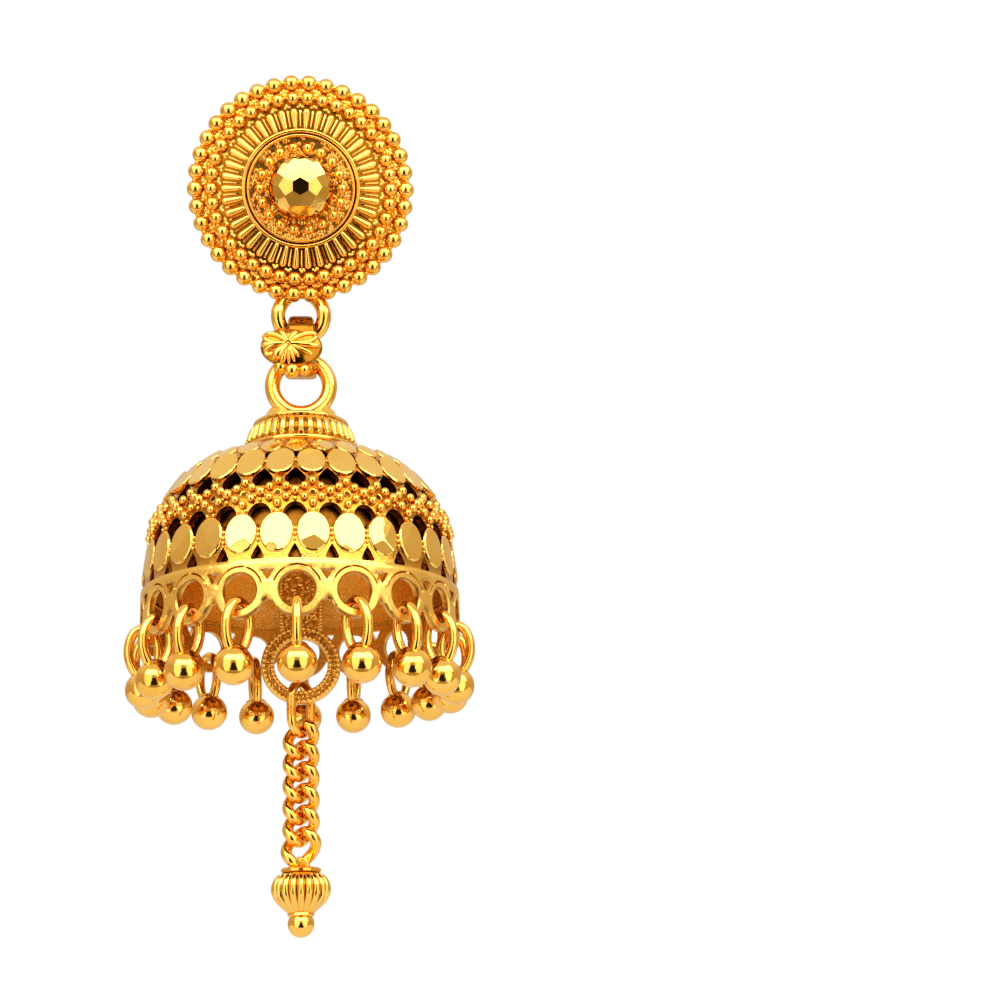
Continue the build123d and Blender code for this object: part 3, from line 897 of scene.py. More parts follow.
# %% Outline
DOME_OUTLINE = [
    (3.70, 0.00), (4.60, 0.17), (5.90, 0.52), (7.05, 1.10), (8.03, 1.83), (8.78, 2.56),
    (9.35, 3.29), (9.80, 4.02), (10.20, 4.90), (10.55, 5.85), (10.80, 6.95), (11.02, 8.41),
    (11.20, 9.87), (11.26, 10.60),
]
REPEATS = 28                   # ornaments in each row
ROW_PHASE = 4.3                # degrees from the front to the nearest disc's middle
STEP = 360.0 / REPEATS
WALL = 0.55
outline = smooth_line(DOME_OUTLINE, 16)
slope = np.gradient(outline, axis=0)
slope /= np.linalg.norm(slope, axis=1)[:, None]
length = np.linalg.norm(np.diff(outline, axis=0), axis=1).sum()
print("outline length %.2f mm, widest radius %.2f mm" % (length, outline[-1, 0]))

# %% Places on the dome
def radius_at(depth):
    return np.interp(depth, outline[:, 1], outline[:, 0])


def on_dome(angle_deg, depth, lift=0.0):
    """Points on the dome; angle_deg is measured from the front round to the right."""
    a = np.radians(angle_deg)
    depth = np.asarray(depth, float)
    out = np.interp(depth, outline[:, 1], slope[:, 1])
    rise = np.interp(depth, outline[:, 1], slope[:, 0])
    r = radius_at(depth) + out * lift
    z = dome_top_z - depth + rise * lift
    return np.stack(np.broadcast_arrays(r * np.sin(a), axis_y - r * np.cos(a), z), -1)


def dome_axes(angle_deg, depth):
    """Right, up-the-slope and outward directions at one place on the dome."""
    a = math.radians(angle_deg)
    out = float(np.interp(depth, outline[:, 1], slope[:, 1]))
    rise = float(np.interp(depth, outline[:, 1], slope[:, 0]))
    normal = np.array([math.sin(a) * out, -math.cos(a) * out, rise])
    return frame_about(normal, Z)


print("at a depth of 5 mm the dome's radius is %.2f mm" % radius_at(5.0))

# %% [markdown]
# ## Piercing
# A pierced plate is drawn flat: its border and windows as closed lines, filled with
# triangles, and the triangles inside a window thrown away. The flat drawing is then
# wrapped on the dome, given a wall, and repeated round the axis, so every repeat meets
# the next exactly.

# %% Points inside a line
def inside(points, polygon):
    """Which 2-D points lie inside a closed line."""
    x, y = points[:, 0], points[:, 1]
    hit = np.zeros(len(points), bool)
    for (x0, y0), (x1, y1) in zip(polygon, np.roll(polygon, -1, 0)):
        crosses = (y0 > y) != (y1 > y)
        at = x0 + (y - y0) * (x1 - x0) / (y1 - y0 if y1 != y0 else 1e-12)
        hit ^= crosses & (x < at)
    return hit


def subdivided(polygon, spacing):
    """A closed line with extra points so that no edge is longer than spacing."""
    out = []
    for p, q in zip(polygon, np.roll(polygon, -1, 0)):
        parts = max(1, int(math.ceil(np.linalg.norm(q - p) / spacing)))
        out += [p + (q - p) * k / parts for k in range(parts)]
    return np.array(out)


square = np.array([(0, 0), (1, 0), (1, 1), (0, 1)], float)
print("a square of 1 mm in steps of 0.25 mm has", len(subdivided(square, 0.25)), "points")

# %% A pierced plate
def pierced(border, windows, spacing, creases=()):
    """Points and triangles of a flat plate with windows; creases are extra closed lines."""
    loops = [subdivided(np.array(border, float), spacing)]
    loops += [np.array(w, float) for w in windows]
    loops += [np.array(c, float) for c in creases]
    points, edges = [], []
    for loop in loops:
        first = len(points)
        points += [Vector(p) for p in loop]
        edges += [(first + k, first + (k + 1) % len(loop)) for k in range(len(loop))]
    low, high = np.min(loops[0], 0), np.max(loops[0], 0)
    gx, gy = np.meshgrid(np.arange(low[0] + spacing / 2, high[0], spacing),
                         np.arange(low[1] + spacing / 2, high[1], spacing))
    gx[::2] += spacing * 0.25
    grid = np.stack([gx.ravel(), gy.ravel()], -1)
    grid = grid[inside(grid, loops[0])]
    near = np.concatenate(loops)
    gap = np.min(np.linalg.norm(grid[:, None] - near[None], axis=2), 1)
    points += [Vector(p) for p in grid[gap > spacing * 0.45]]
    flat, _, triangles, *_ = geometry.delaunay_2d_cdt(points, edges, [], 0, 1e-5)
    flat = np.array([tuple(p) for p in flat])
    triangles = np.array([t for t in triangles if len(t) == 3])
    middle_of = flat[triangles].mean(1)
    keep = inside(middle_of, loops[0])
    for w in windows:
        keep &= ~inside(middle_of, np.array(w, float))
    return flat, triangles[keep]


print("a border, its windows and an even spacing make a pierced plate")

# %% [markdown]
# ## From flat plate to sheet
# `wrapped` lays the flat drawing on a surface twice, outside and inside, and closes the
# cut edges between the two faces. The seam, where one repeat meets the next, is left
# open, so that the repeats join. Window outlines are drawn as their right half, as a
# piercer folds a paper pattern, and mirrored.

# %% Wrap and wall
def wrapped(metal, flat, triangles, place, seam, shade):
    """Wrap a flat plate, with walls along its cut edges.

    place(points, side) gives the outer (0) and inner (1) face, shade(points, side) their
    painted shade, and seam(point) says whether a point lies on the join of two repeats.
    """
    outer = place(flat, 0)
    inner = place(flat, 1)
    count = {}
    for t in triangles:
        for k in range(3):
            a, b = int(t[k]), int(t[(k + 1) % 3])
            count[(a, b)] = count.get((a, b), 0) + 1
    rim = [(a, b) for a, b in count if (b, a) not in count]
    rim = [(a, b) for a, b in rim if not (seam(flat[a]) and seam(flat[b]))]
    n = len(flat)
    metal.add(np.concatenate([outer, inner]),
              np.concatenate([triangles, triangles[:, ::-1] + n]),
              np.concatenate([shade(flat, 0), shade(flat, 1)]))
    if rim:
        rim = np.array(rim)
        quads = np.stack([rim[:, 1], rim[:, 0], rim[:, 0] + n, rim[:, 1] + n], -1)
        metal.add(np.concatenate([outer, inner]), quads,
                  np.concatenate([shade(flat, 0) * 0.5 + 0.3, shade(flat, 1)]))


print("a flat plate can be wrapped")

# %% Windows
def mirrored(half):
    """A closed outline from its right half, as (half width, depth) from top to bottom."""
    half = np.array(half, float)
    left = half[::-1] * (-1, 1)
    both = np.concatenate([half, left])
    keep = [i for i in range(len(both)) if np.linalg.norm(both[i] - both[i - 1]) > 1e-6]
    return both[keep]


# Windows of one repeat: half width in mm, and depth below the dome's flat top.
NOTCH = mirrored([(0, 2.22), (0.26, 2.34), (0.20, 2.58), (0.0, 2.86)])
PETAL_WINDOW = mirrored([(0, 3.72), (0.34, 4.02), (0.68, 4.45), (0.74, 4.72), (0.60, 4.98),
                         (0.38, 5.12), (0, 5.16)])
LENS_WINDOW = mirrored([(0, 6.44), (0.42, 6.58), (0.76, 6.98), (0.80, 7.34), (0.48, 7.80),
                        (0.20, 8.12), (0, 8.28)])
LENS_WINDOW = smooth_line(LENS_WINDOW, 3, closed=True)
FOOT_WINDOW = mirrored([(0, 9.42), (0.26, 9.86), (0.48, 10.34), (0.40, 10.46), (0, 10.46)])
print("four windows drawn, the widest", 2 * round(float(LENS_WINDOW[:, 0].max()), 2), "mm")

# %% [markdown]
# ## The pierced wall
# One repeat of the wall is drawn as degrees across and depth down, pierced, and wrapped
# on the dome twenty-eight times. Behind the windows the wall's inner face is painted darker
# towards the top of the dome, as shade. A plain seat closes the top
# under the crown.

# %% One repeat
WALL_FOOT = 10.66              # depth at which the wall ends behind the rim


def on_sector(window):
    """A window's outline as (degrees, depth), from (mm, depth)."""
    window = np.array(window, float)
    degrees = np.degrees(window[:, 0] / radius_at(window[:, 1]))
    return np.stack([degrees, window[:, 1]], -1)


border = np.array([(-STEP / 2, 0), (STEP / 2, 0), (STEP / 2, WALL_FOOT), (-STEP / 2, WALL_FOOT)])
windows = [on_sector(w) for w in (NOTCH, PETAL_WINDOW, LENS_WINDOW, FOOT_WINDOW)]
SQUEEZE = np.array([0.19, 1.0])        # degrees to about millimetres, so that triangles are even
flat, triangles = pierced(border * SQUEEZE, [w * SQUEEZE for w in windows], 0.34)
flat = flat / SQUEEZE
print("one repeat:", len(triangles), "triangles")

# %% Wall and seat
def wall_shade(points, side):
    """Painted shade: outside on the ground of each row, inside darker towards the dome's top."""
    depth = points[:, 1]
    if side:
        return np.interp(depth, [5.4, 6.6, 9.0], [1.6, 0.6, 0.3])
    return np.interp(depth, [0, 3.6, 3.9, 4.5, 4.8, 6.6, 7.0, 10.2, 10.5],
                     [0.7, 0.7, 0.4, 0.4, 0.95, 0.95, 0.75, 0.75, 0.2])


dome = Metal()
for i in range(REPEATS):
    middle_deg = ROW_PHASE + (i + 0.5) * STEP

    def place(points, side):
        return on_dome(points[:, 0] + middle_deg, points[:, 1], -WALL * side)

    wrapped(dome, flat, triangles, place, lambda p: abs(abs(p[0]) - STEP / 2) < 1e-4, wall_shade)
# Radius, height from the flat top, painted shade: lighter above, black below.
crown_seat = [(0.05, 0.0, 0.6), (2.0, 0.0, 0.6), (3.70, 0.0, 0.6), (3.60, -WALL, 2.0),
              (2.0, -WALL, 2.0), (0.05, -WALL, 2.0), (0.05, 0.0, 2.0)]
profile = [(r, dome_top_z + z) for r, z, _ in crown_seat]
turned(dome, profile, 112, (0, axis_y), painted_shade=[deep for *_, deep in crown_seat])
dome.make("dome_wall", "drop", textured, "textured_gold", replaces=("dome_shell",))

# %% [markdown]
# ## Petals, discs and ovals
# The flat ornaments are cut from sheet with a bevelled edge and soldered on: kite-shaped
# petals on the shoulder, a row of nearly round discs, and taller ovals below. Each one
# was set by hand, so each leans a little differently and catches its own light.

# %% A cut plate
SINK = 0.25                    # how far each plate's edge goes into the wall


def cut_plate(metal, centre, axes, half_w, half_h, thick, edge=0.12, sides=28, power=2.0,
              ridge=0.0, lean=(0.0, 0.0), cuts=()):
    """A flat cut plate with a bevelled rim, lying on a place with these axes.

    `power` is 2 for an ellipse and less for a kite, `ridge` raises the middle. Each cut
    (slope across, slope along, offset) takes the face down to one more plane.
    """
    u, v, w = axes
    a = np.arange(sides) * 2 * math.pi / sides
    ca, sa = np.cos(a), np.sin(a)
    scale = (np.abs(ca) ** power + np.abs(sa) ** power) ** (-1 / power)
    x1, y1 = ca * scale, sa * scale
    bevel = edge / min(half_w, half_h)
    stations = np.linspace(0, 1, 9 if cuts else 3)
    face = [(t * (1 - bevel), thick + ridge * (1 - t)) for t in stations]
    side = [(1 - bevel * 0.35, thick - edge * 0.45), (1.0, thick - edge), (1.0, -SINK)]
    rows = []
    for size, height in face + side:
        x = x1 * size * half_w
        y = y1 * size * half_h
        z = height + (x * lean[0] + y * lean[1] if height > 0 else x * 0)
        for across, along, offset in cuts:
            z = np.minimum(z, height + x * across + y * along + offset)
        rows.append(centre + x[:, None] * u + y[:, None] * v + np.reshape(z, (-1, 1)) * w)
    # The rim of each plate, down into the wall, gets painted shade: 0.1, 0.5 and 0.8.
    metal.add(np.stack(rows), grid_faces(len(rows), sides),
              np.repeat([0] * len(face) + [0.1, 0.5, 0.8], sides))


print("plates go", SINK, "mm into the wall")

# %% Uneven by hand
rng = random.Random(7)


def by_hand(amount):
    """A small lean across and along, as from setting by hand."""
    return (rng.uniform(-amount, amount), rng.uniform(-amount, amount))


def oval_cuts():
    """Three shallow strokes of the flat tool: to the right, to the left and to the top."""
    return [(rng.uniform(0.05, 0.10), rng.uniform(-0.05, 0.02), rng.uniform(0.0, 0.04)),
            (rng.uniform(-0.10, -0.05), rng.uniform(-0.02, 0.05), rng.uniform(0.0, 0.04)),
            (rng.uniform(-0.03, 0.03), rng.uniform(0.07, 0.12), rng.uniform(0.03, 0.07))]


print("each oval gets three strokes, every plate a lean")

# %% Three rows
PETAL_DEPTH = 1.62
DISC_DEPTH = 3.20
OVAL_DEPTH = 8.60
petals = Metal()
discs = Metal()
ovals = Metal()
for i in range(REPEATS):
    here = ROW_PHASE + i * STEP
    between = here + STEP / 2
    cut_plate(petals, on_dome(between, PETAL_DEPTH), dome_axes(between, PETAL_DEPTH), 0.80, 1.02,
              0.16, edge=0.10, sides=24, power=1.45, ridge=0.06, lean=by_hand(0.05))
    cut_plate(discs, on_dome(here, DISC_DEPTH), dome_axes(here, DISC_DEPTH), 0.99, 1.34,
              0.20, edge=0.08, sides=32, power=2.15, lean=by_hand(0.06))
    cut_plate(ovals, on_dome(here, OVAL_DEPTH), dome_axes(here, OVAL_DEPTH), 1.14, 1.46,
              0.17, edge=0.10, sides=48, power=2.05, lean=by_hand(0.03), cuts=oval_cuts())
petals.make("shoulder_petals", "drop", mirror, "polished_gold", crease_deg=18)
discs.make("disc_row", "drop", mirror, "polished_gold", crease_deg=18)
ovals.make("oval_row", "drop", mirror, "polished_gold", crease_deg=18)

# %% [markdown]
# ## Granulation
# Between the rows run flowers of six grains round a small eye whose black middle is
# painted shade in place of a hole, a larger grain between each two flowers, and tiny
# grains where the ovals meet. Grains are cut wire melted into balls, laid out and fused,
# so no two are quite the same size. The foot of every grain gets painted shade.

# %% Granules
# Across in mm and depth for each grain of a flower, then grain radius.
FLOWER = [(0.0, 4.90, 0.31), (-0.55, 5.32, 0.31), (0.55, 5.32, 0.31),
          (-0.57, 6.12, 0.31), (0.57, 6.12, 0.31), (0.0, 6.56, 0.30)]
BETWEEN = [(0.0, 5.66, 0.36), (0.0, 6.24, 0.16), (-0.36, 5.95, 0.13), (0.36, 5.95, 0.13),
           (-0.34, 5.32, 0.12), (0.34, 5.32, 0.12)]
SMALL = [(-0.25, 7.03, 0.14), (0.25, 7.03, 0.14)]
SEAM = [(0.0, 8.42, 0.15), (0.0, 8.80, 0.15), (0.0, 9.16, 0.13), (0.0, 3.18, 0.11)]
granules = Metal()
for i in range(REPEATS):
    here = ROW_PHASE + i * STEP
    for base, group in ((here, FLOWER + SMALL), (here + STEP / 2, BETWEEN + SEAM)):
        for across, depth, radius in group:
            size = radius * rng.uniform(0.94, 1.05)
            angle = base + math.degrees(across / radius_at(depth))
            centre = on_dome(angle, depth, size * 0.42)
            cols, rows = (16, 10) if radius > 0.25 else (10, 6)
            grains(granules, [centre], [size], cols=cols, rows=rows,
                   outward=dome_axes(angle, depth)[2], foot=0.9)
granules.make("dome_granules", "drop", grained, "granulated_gold")

# %% Flower hearts
FLOWER_DEPTH = 5.76
# Radius, height off the wall and painted shade of the eye in each flower; its black middle is painted
# shade in place of a punched hole.
EYE = [(0.30, 0.02, 0.2), (0.25, 0.08, 0.1), (0.19, 0.07, 0.6), (0.17, 0.02, 2.0), (0.0, 0.02, 2.0)]
holes = Metal()
for i in range(REPEATS):
    here = ROW_PHASE + i * STEP
    u, v, w = dome_axes(here, FLOWER_DEPTH)
    centre = on_dome(here, FLOWER_DEPTH)
    rows = [circle(centre + w * height, u, v, r, 14) for r, height, _ in EYE]
    holes.add(np.stack(rows), grid_faces(len(EYE), 14), np.repeat([deep for *_, deep in EYE], 14))
holes.make("flower_hearts", "drop", grained, "granulated_gold")

# %% [markdown]
# ## A lining as shade
# The windows do not look through to the far side. A thin cap of dull sheet stands just
# inside the wall, as shade: its outer face is painted black behind the upper rows and dark
# brown lower down, so the upper windows read black and the lower ones brown.

# %% Lining as shade
shade_lining = Metal()
depths = np.linspace(0.75, 10.58, 34)
outer_face = [(radius_at(t) - WALL - 0.22, dome_top_z - t - 0.12) for t in depths]
inner_face = [(r - 0.14, z - 0.06) for r, z in reversed(outer_face)]
profile = outer_face + inner_face + outer_face[:1]
# Painted shade: black on the outer face above 5.7 mm deep, easing to 1.6 below 8.5 mm, and a little on the
# inner face.
black_shade_outside = np.interp(depths, [5.7, 6.6, 8.5], [2.0, 1.85, 1.6])
light_shade_inside = [0.15] * (len(profile) - len(depths))
turned(shade_lining, profile, 112, (0, axis_y), painted_shade=[*black_shade_outside, *light_shade_inside])
shade_lining.make("dome_shade_lining", "drop", worn, "textured_gold", crease_deg=40)

# %% [markdown]
# ## Lobed rim
# A band runs round the dome's foot, and eighteen ring-shaped lobes hang from it, each
# with a wide hole for its bell. Small inverted triangles are cut between the lobes, and a
# scribed line runs over each hole. It is cut flat and bent round, so it is drawn here
# the same way: one lobe as a flat drawing, wrapped on a cylinder eighteen times.

# %% One lobe
LOBES = 18
LOBE_PHASE = -1.3              # degrees from the front to the nearest lobe's middle
RIM_OUTER = 11.40
RIM_INNER = 10.92
BAND_TOP = 10.60               # depths below the dome's flat top
BAND_FOOT = 11.24
LOBE_DEPTH = 12.60             # of the holes' middles
HOLE = 1.22
LOBE = 1.86
WEB = 0.75                     # how far above a hole's middle two lobes part
SCRIBED = 1.65                 # radius of the scribed line
HALF = RIM_OUTER * math.pi / LOBES


def ring_points(radius, start=0.0, stop=360.0, steps=40, closed=True):
    """Points round a lobe's middle, in the flat drawing."""
    a = np.radians(np.linspace(start, stop, steps, endpoint=not closed))
    return np.stack([radius * np.cos(a), LOBE_DEPTH + radius * np.sin(a)], -1)


web_deg = math.degrees(math.asin(WEB / LOBE))
bottom = ring_points(LOBE, web_deg, 180 - web_deg, 30, closed=False)
border = [(-HALF, BAND_TOP), (HALF, BAND_TOP), (HALF, BAND_FOOT), (HALF - 0.46, BAND_FOOT),
          (HALF, 12.02), (HALF, 13.24)]
border += [tuple(p) for p in bottom]
border += [(-HALF, 13.24), (-HALF, 12.02), (-HALF + 0.46, BAND_FOOT), (-HALF, BAND_FOOT)]
creases = [ring_points(r, steps=48) for r in (HOLE + 0.10, SCRIBED - 0.07, SCRIBED, SCRIBED + 0.07)]
flat, triangles = pierced(border, [ring_points(HOLE, steps=48)], 0.22, creases)
print("one lobe:", len(triangles), "triangles")

# %% [markdown]
# ## Relief on the rim
# Four small steps give the flat rim its life: the scribed line, broken where the graver
# skipped, a bevel round each hole, a lower margin at the foot of each lobe, and the thin
# strips along the band's edges. Where the face dips it is also painted darker, as shade.

# %% Relief
def rim_relief(points, lobe):
    """How far the outer face dips below the band, by place on the lobe."""
    dx = points[:, 0]
    dz = points[:, 1] - LOBE_DEPTH
    r = np.hypot(dx, dz)
    over = np.degrees(np.arctan2(-dz, dx))
    scribed = ease(12, 22, over) * ease(12, 22, 180 - over)
    breaks = ease(0.0, 0.35, np.abs(np.sin(np.radians(over * 3.1 + lobe * 50))))
    groove = np.clip(1 - np.abs(r - SCRIBED) / 0.07, 0, 1) * scribed * breaks
    bevel = np.clip(1 - (r - HOLE) / 0.10, 0, 1) * (r < HOLE + 0.11)
    lower = ease(1.72, 1.86, r) * ease(0.2, 0.7, dz)
    strip = ease(BAND_TOP + 0.04, BAND_TOP, points[:, 1])
    strip += ease(BAND_FOOT - 0.04, BAND_FOOT, points[:, 1]) * (r > 1.8) * (dz < -0.6)
    return 0.16 * groove + 0.11 * bevel + 0.10 * lower + 0.05 * strip


hole_edge = np.array([(HOLE, LOBE_DEPTH)])
print("the bevel dips by %.2f mm" % rim_relief(hole_edge, 0)[0])

# %% Band and lobes
rim = Metal()
for i in range(LOBES):
    middle_deg = LOBE_PHASE + i * 360 / LOBES

    def place(points, side):
        relief = rim_relief(points, i) * (1 - side)
        a = np.radians(middle_deg) + points[:, 0] / RIM_OUTER
        r = (RIM_INNER if side else RIM_OUTER) - relief
        return np.stack([r * np.sin(a), axis_y - r * np.cos(a), dome_top_z - points[:, 1]], -1)

    # Painted shade: 0.25 on the inner face, and outside as deep as the face dips.
    def shade(points, side):
        return np.full(len(points), 0.25) if side else np.clip(rim_relief(points, i) * 9, 0, 1)

    wrapped(rim, flat, triangles, place, lambda p: abs(abs(p[0]) - HALF) < 1e-4, shade)
rim.make("lobed_rim", "drop", worn, "textured_gold", crease_deg=30)

# %% Edge wire
edge_wire = Metal()
edge_line = circle((0, axis_y, dome_top_z - BAND_TOP - 0.02), X, Y, 11.22, 180)
wire(edge_wire, edge_line, 0.17, cols=8, closed=True)
edge_wire.make("rim_edge_wire", "drop", polished, "polished_gold")

# %% [markdown]
# ## The bells
# Each bell is a hollow ball with a wire loop let into its top. The loop is an oval of one
# wire that rests in the lobe's hole, so every bell hangs free and a little askew. The
# bells have no joint of their own here: they swing with the drop.

# %% How each bell hangs
# Each bell's lean in degrees: outwards, sideways along the rim, and the loop's own turn.
BELL_HANG = [
    (3, 0, 0), (4, 5, 24), (8, 2, 0), (2, 0, 0), (-1, 0, 6), (-4, 0, 0),
    (-7, -2, -5), (-5, -3, 0), (-3, 0, 8), (-2, 0, 0), (-4, -2, -8), (-7, 3, 0),
    (-6, 2, 4), (-4, 0, 0), (-2, 0, -6), (2, 0, 0), (7, -1, 0), (4, -4, -24),
]
BELL_WIRE = 0.34
BALL = 1.33
SEAT_RADIUS = 11.15            # from the dome's axis to the foot of a lobe's hole
print("bells:", len(BELL_HANG))

# %% Turning
def rotation(axis, degrees):
    """Turn about one of the three axes."""
    a = math.radians(degrees)
    c, s = math.cos(a), math.sin(a)
    j, k = (axis + 1) % 3, (axis + 2) % 3
    out = np.eye(3)
    out[j, j], out[j, k], out[k, j], out[k, k] = c, -s, s, c
    return out


print("a quarter turn about Z takes X to", rotation(2, 90).dot(X).round(3))

# %% The loop's line
def loop_line():
    """Centre line of the oval loop, from one foot over the top to the other.

    Its sides are wide arcs and its top a narrow one, and they meet where their slopes agree.
    """
    meet = 28.07
    side = np.radians(np.linspace(-41.8, meet, 18))
    right_arc = np.stack([-1.5 + 2.55 * np.cos(side), 2.55 * np.sin(side)], -1)
    top = np.radians(np.linspace(meet, 180 - meet, 22))[1:-1]
    over = np.stack([0.85 * np.cos(top), 0.8 + 0.85 * np.sin(top)], -1)
    left_arc = right_arc[::-1] * (-1, 1)
    line = np.concatenate([right_arc, over, left_arc])
    return np.stack([line[:, 0], line[:, 0] * 0, line[:, 1] + BELL_WIRE - 1.65], -1)


print("the loop is %.2f mm high" % np.ptp(loop_line()[:, 2]))

# %% Eighteen bells
seat_z = dome_top_z - LOBE_DEPTH - HOLE + 0.20
# Radius and height of the solder under the loop's feet, and its painted shade.
SOLDER = [(0.0, -2.58, 0.3), (0.34, -2.60, 0.3), (0.55, -2.66, 0.3), (0.72, -2.80, 0.3),
          (0.80, -2.92, 0.6), (0.0, -2.95, 0.6)]
for i, (outwards, sideways, turn) in enumerate(BELL_HANG):
    about = rotation(2, -90 + LOBE_PHASE + i * 360 / LOBES)
    hang = about @ rotation(0, sideways) @ rotation(1, -outwards) @ rotation(2, turn)
    seat = about @ np.array([SEAT_RADIUS, 0, seat_z]) + (0, axis_y, 0)
    bell = Turned(hang, seat)
    wire(bell, loop_line(), BELL_WIRE, cols=14, up=(0, 1, 0))
    grains(bell, [(0, 0, -4.0)], [BALL], cols=48, rows=30)
    turned(bell, [(r, z) for r, z, _ in SOLDER], 24, painted_shade=[deep for *_, deep in SOLDER])
    bell.make("bell_%02d_ball_and_loop" % (i + 1), "drop", polished, "polished_gold",
              crease_deg=45, replaces=("bell_%02d" % (i + 1),))

# %% [markdown]
# ## Hoop
# A flat strap comes down the middle of the dome and ends in a hoop. Both have milled
# borders, like the edge of a coin, and curls of fine wire fused over a ground painted in shade.
# The hoop's section is a flat band whose ground is cut a little deeper than its two
# borders; carried round, it makes the ring. Then beads go along the borders and curls
# into the ground, on both faces.

# %% Fine curls
hoop_z = dome_top_z - 15.65
hoop_centre = np.array([0, axis_y, hoop_z])
curl = random.Random(11)


def fine_curl(metal, centre, u, v, size, thick):
    """A small C of wire lying in the plane of u and v."""
    start = curl.uniform(0, 2 * math.pi)
    a = np.linspace(start, start + curl.uniform(2.6, 4.6), 10)
    r = size * np.linspace(1.0, 0.45, 10)
    path = centre + r[:, None] * (np.cos(a)[:, None] * u + np.sin(a)[:, None] * v)
    wire(metal, path, thick, cols=6)


print("the hoop's middle is at z %.2f" % hoop_z)

# %% Hoop ring
# Radius and sideways place of the hoop's section; the ground lies between the borders.
hoop_side = [
    (1.90, -0.22), (1.94, -0.34), (2.04, -0.38), (2.14, -0.34), (2.18, -0.24), (2.50, -0.24),
    (2.54, -0.34), (2.62, -0.38), (2.70, -0.34), (2.80, -0.20), (2.85, 0.0), (2.80, 0.20),
    (2.70, 0.34), (2.62, 0.38), (2.54, 0.34), (2.50, 0.24), (2.18, 0.24), (2.14, 0.34),
    (2.04, 0.38), (1.94, 0.34), (1.90, 0.22), (1.90, -0.22),
]
ROUND_HOOP = 96
BORDERS = [(2.04, 40), (2.62, 46)]     # radius of each milled border, and its beads
CURLS = 38
hoop = Metal()
a = np.arange(ROUND_HOOP) * 2 * math.pi / ROUND_HOOP
rows = [np.stack([r * np.cos(a), a * 0 + y, r * np.sin(a)], -1) + hoop_centre for r, y in hoop_side]
# Painted shade: 0.7 on the ground between the borders, 0.2 on the rest.
deep = [0.7 if 2.16 < r < 2.52 else 0.2 for r, y in hoop_side]
hoop.add(np.stack(rows), grid_faces(len(rows), ROUND_HOOP), np.repeat(deep, ROUND_HOOP))
for face in (-1, 1):
    for radius, count in BORDERS:
        beads = circle(hoop_centre + Y * 0.37 * face, X, Z, radius, count)
        grains(hoop, beads, 0.16, cols=10, rows=6)
    for k in range(CURLS):
        t = k * 2 * math.pi / CURLS + curl.uniform(-0.05, 0.05)
        spot = hoop_centre + Y * 0.27 * face + 2.34 * (math.cos(t) * X + math.sin(t) * Z)
        fine_curl(hoop, spot, X, Z, 0.14, 0.075)
hoop.make("hanger_hoop", "drop", worn, "textured_gold", replaces=("inner_hanger",))

# %% [markdown]
# ## Strap
# The strap has the same borders and ground, drawn straight. It narrows a little where it
# meets the hoop.

# %% Strap
# The strap's front edge, left to right: across and forwards. Its back is the same turned.
front_edge = [(-1.60, -0.2), (-1.54, -0.34), (-1.38, -0.38), (-1.24, -0.26), (1.24, -0.26),
              (1.38, -0.38), (1.54, -0.34), (1.60, -0.2)]
across = front_edge + [(-x, -y) for x, y in front_edge]
# Painted shade along the section, most on the ground between the borders.
ground = [0.2, 0.1, 0.1, 0.3, 0.3, 0.1, 0.1, 0.2] * 2
strap_top = dome_top_z - 0.75
strap_foot = hoop_z + 2.35
heights = np.linspace(strap_top, strap_foot, 20)
narrow = np.interp(heights, [strap_foot, strap_foot + 1.6], [0.86, 1.0])
rows = [[(x * s, axis_y + y, z) for x, y in across] for z, s in zip(heights, narrow)]
rows = [[(0, axis_y, strap_top)] * 16] + rows + [[(0, axis_y, strap_foot)] * 16]
strap = Metal()
strap.add(np.array(rows, float), grid_faces(len(rows), 16), np.tile(ground, len(rows)))
for face in (-1, 1):
    for z in np.arange(strap_foot + 0.2, strap_top, 0.24):
        for side in (-1, 1):
            grains(strap, [(side * 1.40, axis_y + face * 0.37, z)], 0.12, cols=7, rows=5)
    for z in np.arange(strap_foot + 0.3, strap_top - 0.2, 0.42):
        for x in np.arange(-0.96, 1.0, 0.48):
            off = (curl.uniform(-0.08, 0.08), curl.uniform(-0.08, 0.08))
            spot = np.array([x + off[0], axis_y + face * 0.29, z + off[1]])
            fine_curl(strap, spot, X, Z, 0.24, 0.10)
strap.make("hanger_strap", "drop", worn, "textured_gold")

# %% [markdown]
# ## Long link
# The long link is one oval of wire through the hoop, half round at both ends and
# straight between. It hangs turned, as the first link of any chain does, so that the
# next link can lie across it.

# %% Long link
LINK_HALF = 1.80               # from the link's middle to the middle of its end wires
link_middle_z = hoop_z - 1.32 - LINK_HALF
turn = math.radians(55)
link_side = np.array([math.cos(turn), math.sin(turn), 0])
low = np.linspace(math.pi, 2 * math.pi, 26)
high = np.linspace(0, math.pi, 26)
oval = np.concatenate([np.stack([1.2 * np.cos(low), -0.6 + 1.2 * np.sin(low)], -1),
                       np.stack([1.2 * np.cos(high), 0.6 + 1.2 * np.sin(high)], -1)])
link_path = np.array([0, axis_y, link_middle_z]) + oval[:, :1] * link_side + oval[:, 1:] * Z
long_link = Metal()
wire(long_link, link_path, 0.32, cols=16, closed=True)
long_link.make("chain_long_link", "drop", polished, "polished_gold", replaces=("chain_top_link",))

# %% [markdown]
# ## Curb chain
# In a curb chain each link is an oval that leans and is twisted along its length, so that
# neighbours lie nearly flat in each other. One link is drawn as a leaning oval, then
# turned more and more about the chain's line from its foot to its top, and the rest are
# copies. The last one is opened a little, to take the finial's eye.

